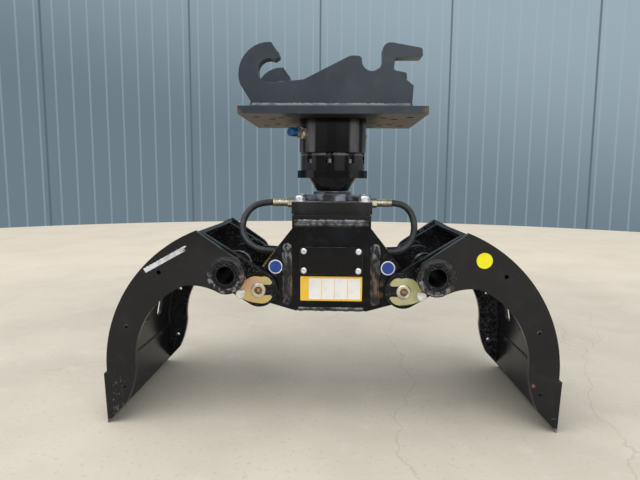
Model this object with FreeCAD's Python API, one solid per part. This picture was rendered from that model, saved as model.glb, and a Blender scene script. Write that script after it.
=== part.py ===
import FreeCAD, Part
import math
import os
from FreeCAD import Vector

os.makedirs("parts", exist_ok=True)

# Rotating sorting grapple, standing on its open jaw tips
# Origin on the ground under the middle, X across the jaws, Y along the hinge pins, Z up

# Jaws
jaw_width = 500.0
tip_reach = 623.0
side_thickness = 16.0
shell_thickness = 10.0
shell_inset = 4.0
shell_corner_x = 364.0
shell_corner_z = 546.0
shell_middle_x = 552.0
shell_middle_z = 393.0
shell_foot_x = 620.0
edge_height = 144.0
edge_thickness = 20.0
edge_proud = 9.0
edge_bevel_height = 20.0
throat_lip_z = 60.0
throat_wall_x = 538.0
throat_wall_z = 165.0
throat_top_x = 397.0
throat_top_z = 396.0
side_hole_radius = 6.0
side_hole_low = 36.0
side_hole_inset = 23.0
side_hole_rise = 116.0
side_hole_crown = 69.0
side_hole_crown_rise = 35.0
throat_chin = 30.0
throat_bulge = 31.0
throat_bulge_rise = 137.0
throat_brow = 47.0
shell_slot_count = 3
shell_slot_pitch = 125.0
shell_slot_length = 120.0
shell_slot_width = 44.0
shell_slot_corner = 10.0
shell_slot_z = 272.0
closed_gap = 2.0

# Torque tubes that tie each jaw together
tube_x = 284.0
tube_z = 426.0
tube_radius = 36.0
tube_wall = 11.0
tube_stand_out = 6.0
tube_boss_radius = 53.0
tube_boss_foot = -72.5

# Jaw arms, hinge pins and lock plates
hinge_x = 202.0
hinge_z = 376.0
pin_radius = 20.0
arm_thickness = 20.0
arm_gap = 2.0
arm_boss_radius = 50.0
arm_cover = 12.0
arm_tail_rise = 300.0
arm_tail_step = 28.0
arm_chin = 26.0
arm_chin_drop = 6.0
pin_collar = 8.0
pin_recess_radius = 11.5
pin_recess_depth = 7.0
pin_chamfer = 2.0
pin_flat_depth = 5.0
lock_thickness = 8.0
lock_mouth_reach = 18.0
lock_rise = 36.0
lock_drop = 38.0
lock_jaw = 4.0
lock_tail = 15.0
lock_bolt_radius = 8.0
lock_bolt_reach = 50.0
lock_bolt_drop = 11.0
bush_wall = 5.0
bush_length = 58.0
hinge_boss_wall = 9.0

# Closing cylinder
lever = 72.0
cylinder_pin_radius = 16.0
eye_wall = 14.0
eye_width = 96.0
bore_radius = 40.0
barrel_wall = 10.0
rod_radius = 22.5
gland_length = 34.0
piston_length = 30.0
end_cap = 20.0
eye_reach = 34.0
end_play = 1.0
lug_thickness = 16.0
lug_gap = 4.0
lug_arch_radius = 50.0
lug_arch_x = 262.0
lug_arch_z = 440.0
port_radius = 11.0
port_stand_out = 8.0
eye_neck_inset = 6.0
gland_face = 3.0
rod_spigot = 6.0
pin_head_wall = 6.0
pin_head_thickness = 4.0

# Frame
frame_depth = 340.0
plate_thickness = 20.0
neck_width = 222.0
neck_z = 547.0
ear_radius = 35.0
frame_foot_z = 310.0
foot_width = 196.0
foot_thickness = 12.0
foot_recess = 6.0
web_x = 125.0
web_thickness = 20.0
web_trim = 3.0
tab_z = 330.0
tab_height = 171.0
tab_recess = 2.0
window_width = 156.0
window_z = 378.0
window_corner = 20.0
flange_top = 584.0
flange_thickness = 15.0
cover_width = 176.0
cover_height = 79.0
cover_z = 456.5
cover_thickness = 8.0
cover_bolt_inset_x = 11.0
cover_bolt_inset_z = 12.0
cover_bolt_radius = 5.0
cover_corner = 8.0
cover_window_edge = 4.0
button_height = 5.0
button_round = 3.5
button_socket = 6.0
button_socket_depth = 3.0

# Rotator, from the block on the frame up to the adapter plate
block_side = 236.0
block_thickness = 36.0
block_corner = 10.0
hub_height = 64.0
hub_radius = 58.0
ridge_width = 60.0
ridge_height = 54.0
port_bore = 30.0
hub_flare = 8.0
nose_taper = 12.0
nose_lip = 2.0
nose_drop = 6.0
block_bolt_radius = 10.0
block_bolt_inset = 23.0
washer_thickness = 4.0
turn_gap = 2.0
cone_height = 39.0
cone_top_radius = 77.0
cone_bottom_radius = 49.0
lower_flange = 22.0
lower_side = 206.0
ring_height = 53.0
ring_radius = 98.0
ring_screws = 9
ring_screw_circle = 87.0
ring_screw_radius = 6.0
scallop_radius = 12.0
scallop_height = 31.0
scallop_mouth = 6.0
ring_socket = 10.0
ring_socket_depth = 5.0
upper_height = 97.0
upper_side = 196.0
housing_chamfer = 31.0
chamber_radius = 72.0
drum_radius = 62.0
journal_radius = 40.0
spline_radius = 36.0
oil_bore_radius = 10.0
running_fit = 0.05
vane_count = 7
vane_thickness = 4.0
vane_seat = 14.0
vane_tip_gap = 0.3
drum_end_gap = 0.2
shaft_top_room = 2.0
seal_height = 8.0
seal_wall = 5.0
seal_lift = 5.0
screw_thread_lift = 3.0
housing_fillet = 5.0
port_drop = 42.0
corner_port_bearing = 225.0
rear_port_x = 47.0
thread_radius = 9.0
thread_depth = 20.0
port_clear_depth = 22.0
port_hexagon = 30.0
port_hexagon_length = 11.0
port_neck_length = 8.0
swivel_hexagon = 27.0
swivel_length = 14.0
cap_radius = 13.0
cap_length = 24.0
cap_round = 4.0
plug_offset = -20.0
plug_drop = 14.0
plug_radius = 14.0
plug_thickness = 5.0
plug_thread = 14.0
mount_bolts = 8
mount_circle = 75.0
mount_bolt_radius = 8.0
mount_bolt_depth = 34.0
mount_socket = 14.0
mount_socket_depth = 8.0
mount_hole_room = 2.0
mount_first_bearing = 22.5

# Adapter plate and hitch ears
plate_length = 518.0
plate_width = 384.0
adapter_thickness = 21.0
adapter_corner = 6.0
ear_thickness = 40.0
ear_outside = 350.0
hook_x = -173.0
hook_rise = 95.0
hook_radius = 32.0
hook_back_radius = 84.0
notch_x = 105.5
notch_rise = 121.5
notch_radius = 27.5
ear_top_rise = 168.0
ear_heel = 52.0
ear_heel_rise = 15.0
hook_back_drop = 9.0
hook_nose = 22.0
hook_nose_drop = 22.0
hook_throat_run = 94.0
hook_throat_drop = 23.0
ramp_back = 69.0
ramp_rise = 8.0
ramp_top_back = 40.0
ramp_top_rise = 12.0
horn_neck_drop = 24.0
horn_shoulder = 26.0
horn_length = 98.0
horn_slope = 13.0
horn_round = 8.0
horn_depth = 39.0
horn_root = 34.0
tail_notch_drop = 69.0
tail_reach = 81.0
tail_shoulder_drop = 109.0
tail_round = 4.0
spare_hole_radius = 11.0
outer_holes = (218.0, 113.0)
middle_holes = (178.0, 66.0)
inner_holes = (147.0, 95.0)

# Hoses
hose_radius = 10.0
ferrule_radius = 10.5
ferrule_length = 46.0
port_adapter_length = 20.0
bulkhead_y = -95.0
bulkhead_z = 472.0
union_length = 14.0
sleeve_length = 14.0
port_height = 29.0
ferrule_wall = 2.0
port_hexagon_across = 26.0
union_hexagon_across = 28.0
union_tail = 10.0
port_thread = 24.0

# Heights and places that follow from the sizes above
half_width = jaw_width / 2
side_inner = half_width - side_thickness
frame_face = frame_depth / 2
plate_inner = frame_face - plate_thickness
arm_inner = frame_face + arm_gap
arm_outer = arm_inner + arm_thickness
lock_outer = arm_outer + lock_thickness
pin_end = lock_outer + pin_collar
flange_base = flange_top - flange_thickness
block_top = flange_top + block_thickness
hub_top = flange_top + hub_height
cone_base = hub_top + turn_gap
seal_base = cone_base + seal_lift
lower_base = cone_base + cone_height
ring_base = lower_base + lower_flange
upper_base = ring_base + ring_height
adapter_base = upper_base + upper_height
shaft_foot = flange_base
shaft_top = upper_base + 0.55 * upper_height
adapter_top = adapter_base + adapter_thickness
edge_outer_x = shell_foot_x + edge_proud
port_z = flange_top + port_height
barrel_radius = bore_radius + barrel_wall
lug_inner = eye_width / 2 + lug_gap
lug_outer = lug_inner + lug_thickness
eye_radius = cylinder_pin_radius + eye_wall

# Closing turns a jaw until its tip stands half the closed gap from the middle
tip_distance = math.hypot(tip_reach - hinge_x, hinge_z)
open_tip_angle = math.degrees(math.asin((tip_reach - hinge_x) / tip_distance))
shut_tip_angle = math.degrees(math.asin((hinge_x - closed_gap / 2) / tip_distance))
closing_angle = open_tip_angle + shut_tip_angle

# The lever swings evenly to both sides of upright, so the cylinder ends level
open_lever = math.radians(90.0 + closing_angle / 2)
lever_x = hinge_x + lever * math.cos(open_lever)
lever_z = hinge_z + lever * math.sin(open_lever)
stroke = 4 * lever * math.sin(math.radians(closing_angle / 2))


def keep(name, *shapes):
    shape = shapes[0] if len(shapes) == 1 else Part.makeCompound(list(shapes))
    shape.exportStep("parts/" + name + ".step")


def box(low, high):
    size = Vector(*high) - Vector(*low)
    return Part.makeBox(size.x, size.y, size.z, Vector(*low))


def rod_y(x, z, radius, y_from, y_to):
    return Part.makeCylinder(radius, y_to - y_from, Vector(x, y_from, z), Vector(0, 1, 0))


def rod_z(x, y, radius, z_from, z_to):
    return Part.makeCylinder(radius, z_to - z_from, Vector(x, y, z_from))


def rod_x(y, z, radius, x_from, x_to):
    return Part.makeCylinder(radius, x_to - x_from, Vector(x_from, y, z), Vector(1, 0, 0))


def ring_y(x, z, outer, inner, y_from, y_to):
    return rod_y(x, z, outer, y_from, y_to).cut(rod_y(x, z, inner, y_from, y_to))


def hexagon(centre, across_flats, height, axis):
    corner = across_flats / math.sqrt(3)
    turn = FreeCAD.Rotation(Vector(0, 0, 1), axis)
    points = []
    for step in range(7):
        angle = math.radians(60 * step)
        local = Vector(corner * math.cos(angle), corner * math.sin(angle), 0)
        points.append(centre + turn.multVec(local))
    return Part.Face(Part.makePolygon(points)).extrude(axis * height)


def mirror_x(shape):
    return shape.mirror(Vector(0, 0, 0), Vector(1, 0, 0))


def mirror_y(shape):
    return shape.mirror(Vector(0, 0, 0), Vector(0, 1, 0))


def around(x, z, radius, degrees):
    angle = math.radians(degrees)
    return (x + radius * math.cos(angle), z + radius * math.sin(angle))


def bearing(x, z, to_x, to_z):
    return math.degrees(math.atan2(to_z - z, to_x - x))


def touch(x, z, radius, from_x, from_z, side):
    # Bearing at which a line from a point touches a circle
    reach = math.hypot(from_x - x, from_z - z)
    return bearing(x, z, from_x, from_z) + side * math.degrees(math.acos(radius / reach))


def outline(start, *steps):
    # A step is a point for a straight edge, or a middle and an end point for an arc
    edges = []
    here = Vector(start[0], 0, start[1])
    for step in steps:
        if isinstance(step[0], tuple):
            middle = Vector(step[0][0], 0, step[0][1])
            there = Vector(step[1][0], 0, step[1][1])
            edges.append(Part.Arc(here, middle, there).toShape())
        else:
            there = Vector(step[0], 0, step[1])
            edges.append(Part.LineSegment(here, there).toShape())
        here = there
    first = Vector(start[0], 0, start[1])
    if (here - first).Length > 0.001:
        edges.append(Part.LineSegment(here, first).toShape())
    return Part.Face(Part.Wire(edges))


def plate(face, y_from, y_to):
    moved = face.copy()
    moved.translate(Vector(0, y_from, 0))
    return moved.extrude(Vector(0, y_to - y_from, 0))


def link(x1, z1, radius1, x2, z2, radius2):
    # Bar with two round ends, its sides tangent to both
    reach = math.hypot(x2 - x1, z2 - z1)
    base = bearing(x1, z1, x2, z2)
    spread = math.degrees(math.acos((radius1 - radius2) / reach))
    start = around(x1, z1, radius1, base + spread)
    return outline(
        start,
        (around(x1, z1, radius1, base + 180), around(x1, z1, radius1, base - spread)),
        around(x2, z2, radius2, base - spread),
        (around(x2, z2, radius2, base), around(x2, z2, radius2, base + spread)),
    )


def circle_through(first, second, third):
    arc = Part.Arc(Vector(first[0], 0, first[1]), Vector(second[0], 0, second[1]),
                   Vector(third[0], 0, third[1])).toShape().Curve
    return arc.Center.x, arc.Center.z, arc.Radius


# Jaws, drawn for the right side
corner = (shell_corner_x, shell_corner_z)
back_x, back_z, back_radius = circle_through(
    corner, (shell_middle_x, shell_middle_z), (shell_foot_x, edge_height))
corner_bearing = bearing(back_x, back_z, *corner)
foot_bearing = bearing(back_x, back_z, shell_foot_x, edge_height)
edge_inner_x = edge_outer_x - edge_thickness
bevel_x = tip_reach - edge_thickness + 2


def side_face():
    lift = touch(tube_x, tube_z, tube_boss_radius, *corner, 1)
    return outline(
        corner,
        ((shell_middle_x, shell_middle_z), (shell_foot_x, edge_height)),
        (edge_inner_x, edge_height),
        (bevel_x, edge_bevel_height),
        (throat_wall_x + throat_chin, throat_lip_z),
        ((throat_wall_x + throat_chin / 3, (throat_lip_z + throat_wall_z) / 2),
         (throat_wall_x, throat_wall_z)),
        ((throat_wall_x - throat_bulge, throat_wall_z + throat_bulge_rise), (throat_top_x, throat_top_z)),
        ((throat_top_x - throat_brow, throat_top_z - 2),
         around(tube_x, tube_z, tube_boss_radius, tube_boss_foot)),
        (around(tube_x, tube_z, tube_boss_radius, 180), around(tube_x, tube_z, tube_boss_radius, lift)),
    )


def arm_face():
    # The arm ends on the inner face of the shell
    inner = back_radius - shell_inset - shell_thickness
    top = around(back_x, back_z, inner, corner_bearing)
    low = around(back_x, back_z, inner, bearing(back_x, back_z, shell_foot_x, arm_tail_rise))
    middle = around(back_x, back_z, inner, (corner_bearing + bearing(back_x, back_z, *low)) / 2)
    chin = (tube_x + arm_chin, tube_z - tube_radius - arm_chin_drop)
    upper = touch(hinge_x, hinge_z, arm_boss_radius, *top, 1)
    under = touch(hinge_x, hinge_z, arm_boss_radius, *chin, -1)
    return outline(
        top,
        (middle, low),
        (throat_wall_x - arm_tail_step - 5, arm_tail_rise + arm_tail_step + 2),
        ((throat_top_x + 3, throat_top_z + arm_cover), chin),
        around(hinge_x, hinge_z, arm_boss_radius, under),
        (around(hinge_x, hinge_z, arm_boss_radius, 180), around(hinge_x, hinge_z, arm_boss_radius, upper)),
    )


def side_plate():
    body = plate(side_face(), -half_width, -side_inner)
    body = body.cut(rod_y(tube_x, tube_z, tube_radius, -half_width, -side_inner))
    holes = [((edge_inner_x + throat_wall_x) / 2, edge_height - side_hole_low),
             (throat_wall_x + side_hole_inset, throat_wall_z + side_hole_rise),
             (throat_top_x + side_hole_crown, throat_top_z + side_hole_crown_rise)]
    for x, z in holes:
        body = body.cut(rod_y(x, z, side_hole_radius, -half_width, -side_inner))
    return body


def lock_bolt_place():
    return hinge_x + lock_bolt_reach, hinge_z - lock_bolt_drop


def arm():
    bolt_x, bolt_z = lock_bolt_place()
    body = plate(arm_face(), -arm_outer, -arm_inner)
    body = body.cut(rod_y(tube_x, tube_z, tube_radius, -arm_outer, -arm_inner))
    body = body.cut(rod_y(hinge_x, hinge_z, pin_radius, -arm_outer, -arm_inner))
    return body.cut(rod_y(bolt_x, bolt_z, lock_bolt_radius, -arm_outer, -arm_inner))


def torque_tube():
    reach = half_width + tube_stand_out
    return ring_y(tube_x, tube_z, tube_radius, tube_radius - tube_wall, -reach, reach)


def shell():
    outer = back_radius - shell_inset
    inner = outer - shell_thickness
    foot = math.degrees(math.asin((edge_height - back_z) / outer))
    foot_inner = math.degrees(math.asin((edge_height - back_z) / inner))
    half = (corner_bearing + foot) / 2
    face = outline(
        around(back_x, back_z, outer, corner_bearing),
        (around(back_x, back_z, outer, half), around(back_x, back_z, outer, foot)),
        around(back_x, back_z, inner, foot_inner),
        (around(back_x, back_z, inner, half), around(back_x, back_z, inner, corner_bearing)),
    )
    body = plate(face, -side_inner, side_inner)
    for index in range(shell_slot_count):
        y = (index - (shell_slot_count - 1) / 2) * shell_slot_pitch
        slot = box((throat_wall_x, y - shell_slot_width / 2, shell_slot_z - shell_slot_length / 2),
                   (shell_foot_x, y + shell_slot_width / 2, shell_slot_z + shell_slot_length / 2))
        depth = shell_foot_x - throat_wall_x
        corners = [edge for edge in slot.Edges if abs(edge.BoundBox.XLength - depth) < 0.01]
        body = body.cut(slot.makeFillet(shell_slot_corner, corners))
    return body


def cutting_edge():
    face = outline(
        (edge_outer_x, edge_height),
        (tip_reach, 0),
        (bevel_x, edge_bevel_height),
        (edge_inner_x, edge_height),
    )
    return plate(face, -half_width, half_width)


def lug(y_from, y_to):
    # Lever from the torque tube in to the cylinder pin, with a rounded gusset on the tube
    bar = plate(link(lever_x, lever_z, eye_radius, tube_x, tube_z, tube_radius + 10), y_from, y_to)
    body = bar.fuse(rod_y(lug_arch_x, lug_arch_z, lug_arch_radius, y_from, y_to))
    body = body.removeSplitter()
    body = body.cut(rod_y(tube_x, tube_z, tube_radius, y_from, y_to))
    return body.cut(rod_y(lever_x, lever_z, cylinder_pin_radius, y_from, y_to))


def hinge_pin():
    # Short pin through one arm and one frame plate, flats for its lock plate, greased end recess
    inner_end = frame_face - bush_length
    body = rod_y(hinge_x, hinge_z, pin_radius, -pin_end, -inner_end)
    flat = pin_radius - pin_flat_depth
    for low, high in ((flat, pin_radius + 1), (-pin_radius - 1, -flat)):
        body = body.cut(box((hinge_x - pin_radius - 1, -lock_outer, hinge_z + low),
                            (hinge_x + pin_radius + 1, -arm_outer, hinge_z + high)))
    recess = Part.makeCone(pin_recess_radius, pin_recess_radius - 3, pin_recess_depth,
                           Vector(hinge_x, -pin_end, hinge_z), Vector(0, 1, 0))
    body = body.cut(recess)
    rim = [edge for edge in body.Edges if abs(edge.CenterOfMass.y + pin_end) < 0.01
           and abs(edge.Length - 2 * math.pi * pin_radius) < 0.1]
    return body.makeChamfer(pin_chamfer, rim)


def lock_plate():
    # Keeper with an open slot that drops over the pin's flats, its bolt on the outer side
    bolt_x, bolt_z = lock_bolt_place()
    half_slot = pin_radius - pin_flat_depth
    slot_end = math.sqrt(pin_radius ** 2 - half_slot ** 2)
    mouth = hinge_x - pin_radius - lock_mouth_reach
    upper_lip = hinge_z + half_slot
    lower_lip = hinge_z - half_slot
    top = hinge_z + lock_rise
    bottom = hinge_z - lock_drop
    face = outline(
        (hinge_x - 6, top),
        ((mouth + 8, top - lock_jaw), (mouth, upper_lip + lock_jaw)),
        (mouth + 6, upper_lip),
        (hinge_x + slot_end, upper_lip),
        ((hinge_x + pin_radius, hinge_z), (hinge_x + slot_end, lower_lip)),
        (mouth + 6, lower_lip),
        (mouth, lower_lip - lock_jaw),
        ((mouth + 10, bottom + 6), (hinge_x - 2, bottom)),
        ((hinge_x + pin_radius + 4, bottom + lock_jaw), (bolt_x - 4, bolt_z - lock_tail)),
        ((bolt_x + lock_tail, bolt_z), (bolt_x + 2, bolt_z + lock_tail)),
        ((hinge_x + pin_radius + 10, top - lock_jaw), (hinge_x - 6, top)),
    )
    body = plate(face, -lock_outer, -arm_outer)
    return body.cut(rod_y(bolt_x, bolt_z, lock_bolt_radius, -lock_outer, -arm_outer))


def lock_bolt():
    bolt_x, bolt_z = lock_bolt_place()
    head = Vector(bolt_x, -lock_outer, bolt_z)
    shank = rod_y(bolt_x, bolt_z, lock_bolt_radius, -lock_outer, -arm_inner)
    washer = rod_y(bolt_x, bolt_z, 1.6 * lock_bolt_radius, -lock_outer - 2, -lock_outer)
    nut_head = hexagon(head - Vector(0, 2, 0), 3 * lock_bolt_radius - 2, lock_bolt_radius, Vector(0, -1, 0))
    return shank.fuse(washer).fuse(nut_head)


def cylinder_pin():
    head = cylinder_pin_radius + pin_head_wall
    body = rod_y(lever_x, lever_z, cylinder_pin_radius, -lug_outer, lug_outer)
    for side in (-1, 1):
        start = min(side * lug_outer, side * (lug_outer + pin_head_thickness))
        body = body.fuse(rod_y(lever_x, lever_z, head, start, start + pin_head_thickness))
    return body


def jaw_nodes():
    side = side_plate()
    one_arm = arm()
    pin = hinge_pin()
    lock = lock_plate()
    bolt = lock_bolt()
    return {
        "side_plate_front": [side],
        "side_plate_rear": [mirror_y(side)],
        "arm_front": [one_arm],
        "arm_rear": [mirror_y(one_arm)],
        "torque_tube": [torque_tube()],
        "shell": [shell()],
        "cutting_edge": [cutting_edge()],
        "levers": [lug(-lug_outer, -lug_inner), lug(lug_inner, lug_outer)],
        "hinge_pins": [pin, mirror_y(pin)],
        "lock_plates": [lock, mirror_y(lock)],
        "lock_bolts": [bolt, mirror_y(bolt)],
        "cylinder_pin": [cylinder_pin()],
    }


for kind, shapes in jaw_nodes().items():
    keep("jaw_right_" + kind, *shapes)
    keep("jaw_left_" + kind, *[mirror_x(shape) for shape in shapes])


# Closing cylinder, retracted
barrel_end = lever_x - eye_reach - 4
cap_inner = -lever_x + eye_reach + end_cap
gland_inner = barrel_end - gland_length


def cylinder_eye(x):
    return rod_y(x, lever_z, eye_radius, -eye_width / 2, eye_width / 2)


def barrel():
    body = rod_x(0, lever_z, barrel_radius, -lever_x + eye_reach, barrel_end)
    neck_half = eye_width / 2 - eye_neck_inset
    neck_rise = eye_radius - eye_neck_inset
    neck = box((-lever_x, -neck_half, lever_z - neck_rise),
               (-lever_x + eye_reach + 2, neck_half, lever_z + neck_rise))
    body = body.fuse(neck).fuse(cylinder_eye(-lever_x))
    slant = Vector(0, -1, 1).normalize()
    for x in (cap_inner + 16, gland_inner - 12):
        start = Vector(x, 0, lever_z) + slant * (bore_radius + barrel_wall / 2)
        body = body.fuse(Part.makeCylinder(port_radius, barrel_wall / 2 + port_stand_out, start, slant))
    body = body.cut(rod_x(0, lever_z, bore_radius, cap_inner, barrel_end))
    return body.cut(rod_y(-lever_x, lever_z, cylinder_pin_radius, -eye_width / 2, eye_width / 2))


def gland():
    body = rod_x(0, lever_z, bore_radius, gland_inner, barrel_end)
    face_end = barrel_end + gland_face
    face = rod_x(0, lever_z, barrel_radius - gland_face, barrel_end, face_end)
    return body.fuse(face).cut(rod_x(0, lever_z, rod_radius + running_fit, gland_inner, face_end))


def piston():
    start = cap_inner + end_play
    body = rod_x(0, lever_z, bore_radius - running_fit, start, start + piston_length)
    return body.cut(rod_x(0, lever_z, rod_radius - rod_spigot, start, start + piston_length))


def piston_rod():
    start = cap_inner + end_play
    body = rod_x(0, lever_z, rod_radius, start + piston_length, lever_x)
    body = body.fuse(rod_x(0, lever_z, rod_radius - rod_spigot, start, start + piston_length))
    neck = rod_x(0, lever_z, rod_radius + 3, lever_x - eye_reach + 6, lever_x)
    body = body.fuse(neck).fuse(cylinder_eye(lever_x))
    return body.cut(rod_y(lever_x, lever_z, cylinder_pin_radius, -eye_width / 2, eye_width / 2))


keep("cylinder_barrel", barrel())
keep("cylinder_gland", gland())
keep("cylinder_piston", piston())
keep("piston_rod", piston_rod())


# Frame
half_neck = neck_width / 2
half_foot = foot_width / 2
web_inside = web_x - web_thickness / 2
web_outside = web_x + web_thickness / 2
foot_top = frame_foot_z + foot_thickness
upper_touch = touch(hinge_x, hinge_z, ear_radius, half_neck, neck_z, -1)
lower_touch = touch(hinge_x, hinge_z, ear_radius, half_foot, frame_foot_z, 1)
right_top = around(hinge_x, hinge_z, ear_radius, upper_touch)
right_low = around(hinge_x, hinge_z, ear_radius, lower_touch)


def neck_slope(x):
    # Height of the plates' upper slope at a distance from the middle
    return neck_z + (x - half_neck) * (right_top[1] - neck_z) / (right_top[0] - half_neck)


def foot_slope(x):
    return frame_foot_z + (x - half_foot) * (right_low[1] - frame_foot_z) / (right_low[0] - half_foot)


def frame_face_outline():
    right_tip = around(hinge_x, hinge_z, ear_radius, 0)
    return outline(
        (-half_neck, flange_base),
        (half_neck, flange_base),
        (half_neck, neck_z),
        right_top,
        (right_tip, right_low),
        (half_foot, frame_foot_z),
        (half_foot, foot_top),
        (-half_foot, foot_top),
        (-half_foot, frame_foot_z),
        (-right_low[0], right_low[1]),
        ((-right_tip[0], right_tip[1]), (-right_top[0], right_top[1])),
        (-half_neck, neck_z),
    )


def web_slot(x, y_from, y_to):
    half = web_thickness / 2
    body = box((x - half, y_from, tab_z + half), (x + half, y_to, tab_z + tab_height - half))
    for z in (tab_z + half, tab_z + tab_height - half):
        body = body.fuse(rod_y(x, z, half, y_from, y_to))
    return body


def cover_bolt_places():
    places = []
    for side_x in (-1, 1):
        for side_z in (-1, 1):
            places.append((side_x * (cover_width / 2 - cover_bolt_inset_x),
                           cover_z + side_z * (cover_height / 2 - cover_bolt_inset_z)))
    return places


def frame_plate():
    boss_hole = pin_radius + bush_wall
    body = plate(frame_face_outline(), -frame_face, -plate_inner)
    for side in (-1, 1):
        body = body.cut(rod_y(side * hinge_x, hinge_z, boss_hole, -frame_face, -plate_inner))
        body = body.cut(web_slot(side * web_x, -frame_face, -plate_inner))
    return body


def front_plate():
    body = frame_plate()
    window_x = cover_width / 2 - 2 * cover_bolt_inset_x - cover_window_edge
    window_half = cover_height / 2 - 2 * cover_bolt_inset_z + cover_window_edge
    body = body.cut(box((-window_x, -frame_face, cover_z - window_half),
                        (window_x, -plate_inner, cover_z + window_half)))
    for x, z in cover_bolt_places():
        body = body.cut(rod_y(x, z, cover_bolt_radius, -frame_face, -plate_inner))
    return body


def cover_plate():
    body = box((-cover_width / 2, -frame_face - cover_thickness, cover_z - cover_height / 2),
               (cover_width / 2, -frame_face, cover_z + cover_height / 2))
    corners = [edge for edge in body.Edges if abs(edge.BoundBox.YLength - cover_thickness) < 0.01]
    body = body.makeFillet(cover_corner, corners)
    for x, z in cover_bolt_places():
        body = body.cut(rod_y(x, z, cover_bolt_radius, -frame_face - cover_thickness, -frame_face))
    return body


def cover_bolt(x, z):
    # Button head with a socket
    face_y = -frame_face - cover_thickness
    head_radius = 1.8 * cover_bolt_radius
    top_y = face_y - button_height
    head = rod_y(x, z, head_radius, top_y, face_y)
    rim = [edge for edge in head.Edges if abs(edge.CenterOfMass.y - top_y) < 0.01]
    head = head.makeFillet(button_round, rim)
    body = head.fuse(rod_y(x, z, cover_bolt_radius, face_y, -plate_inner))
    return body.cut(hexagon(Vector(x, top_y, z), button_socket, button_socket_depth, Vector(0, 1, 0)))


def side_web(side):
    # Two columns on a low sill, both cut along the slopes of the plates
    x = side * web_x
    half = web_thickness / 2
    body = plate(outline(
        (side * web_inside, foot_slope(web_inside) + web_trim),
        (side * web_outside, foot_slope(web_outside) + web_trim),
        (side * web_outside, neck_slope(web_outside) - web_trim),
        (side * web_inside, neck_slope(web_inside) - web_trim),
    ), -plate_inner, plate_inner)
    window = box((x - half, -window_width / 2, window_z), (x + half, window_width / 2, flange_base))
    corners = [edge for edge in window.Edges if abs(edge.BoundBox.XLength - web_thickness) < 0.01
               and edge.CenterOfMass.z < flange_base - 1]
    body = body.cut(window.makeFillet(window_corner, corners))
    tab_end = frame_face - tab_recess
    for low, high in ((-tab_end, -plate_inner), (plate_inner, tab_end)):
        body = body.fuse(web_slot(x, low, high))
    body = body.removeSplitter()
    return body.cut(rod_x(bulkhead_y, bulkhead_z, ferrule_radius, x - half, x + half))


def bottom_plate():
    strip = box((-half_foot, -frame_face + foot_recess, frame_foot_z),
                (half_foot, frame_face - foot_recess, foot_top))
    middle = plate(outline(
        (-half_foot, frame_foot_z),
        (half_foot, frame_foot_z),
        (web_inside, foot_slope(web_inside)),
        (web_inside, foot_top),
        (-web_inside, foot_top),
        (-web_inside, foot_slope(web_inside)),
    ), -plate_inner, plate_inner)
    return strip.fuse(middle).removeSplitter()


def hinge_boss(side):
    return ring_y(side * hinge_x, hinge_z, pin_radius + bush_wall + hinge_boss_wall,
                  pin_radius + bush_wall, -plate_inner, -frame_face + bush_length)


def hinge_bush(side):
    return ring_y(side * hinge_x, hinge_z, pin_radius + bush_wall, pin_radius + running_fit,
                  -frame_face, -frame_face + bush_length)


def block_bolt_places():
    reach = block_side / 2 - block_bolt_inset
    return [(x, y) for x in (-reach, reach) for y in (-reach, reach)]


def top_flange():
    body = box((-neck_width / 2, -frame_face, flange_base), (neck_width / 2, frame_face, flange_top))
    for x, y in block_bolt_places():
        body = body.cut(rod_z(x, y, block_bolt_radius, flange_base, flange_top))
    return body.cut(rod_z(0, 0, spline_radius, flange_base, flange_top))


keep("frame_front_plate", front_plate())
keep("frame_rear_plate", mirror_y(frame_plate()))
keep("frame_web_left", side_web(-1))
keep("frame_web_right", side_web(1))
keep("frame_bottom_plate", bottom_plate())
keep("frame_top_flange", top_flange())
keep("cover_plate", cover_plate())
keep("cover_bolts", *[cover_bolt(x, z) for x, z in cover_bolt_places()])
bosses = [hinge_boss(-1), hinge_boss(1)]
keep("hinge_bosses", *bosses, *[mirror_y(boss) for boss in bosses])
bushes = [hinge_bush(-1), hinge_bush(1)]
keep("hinge_bushes", *bushes, *[mirror_y(bush) for bush in bushes])


# Block that the rotator turns, bolted on the frame
def rotor_block():
    half = block_side / 2
    body = box((-half, -half, flange_top), (half, half, block_top))
    corners = [edge for edge in body.Edges if abs(edge.BoundBox.ZLength - block_thickness) < 0.01]
    body = body.makeFillet(block_corner, corners)
    ridge = box((-half, -ridge_width / 2, flange_top), (half, ridge_width / 2, flange_top + ridge_height))
    brows = [edge for edge in ridge.Edges if edge.BoundBox.XLength > half
             and edge.CenterOfMass.z > block_top]
    ridge = ridge.makeFillet(block_corner, brows)
    hub = Part.makeCone(hub_radius + hub_flare, hub_radius, hub_height, Vector(0, 0, flange_top))
    nose = Part.makeCone(hub_radius, hub_radius - nose_taper, hub_height - nose_drop,
                         Vector(0, -half + hub_radius + nose_lip, flange_top))
    tail = mirror_y(nose)
    body = body.fuse(ridge).fuse(hub).fuse(nose).fuse(tail)
    body = body.cut(rod_z(0, 0, spline_radius, flange_top, hub_top))
    for x, y in block_bolt_places():
        body = body.cut(rod_z(x, y, block_bolt_radius, flange_top, block_top))
        seat = 1.9 * block_bolt_radius
        body = body.cut(rod_z(x, y, seat, block_top, hub_top))
    for low, high in ((-half, -half + port_bore), (half - port_bore, half)):
        body = body.cut(rod_x(0, port_z, port_radius, low, high))
    return body


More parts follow.
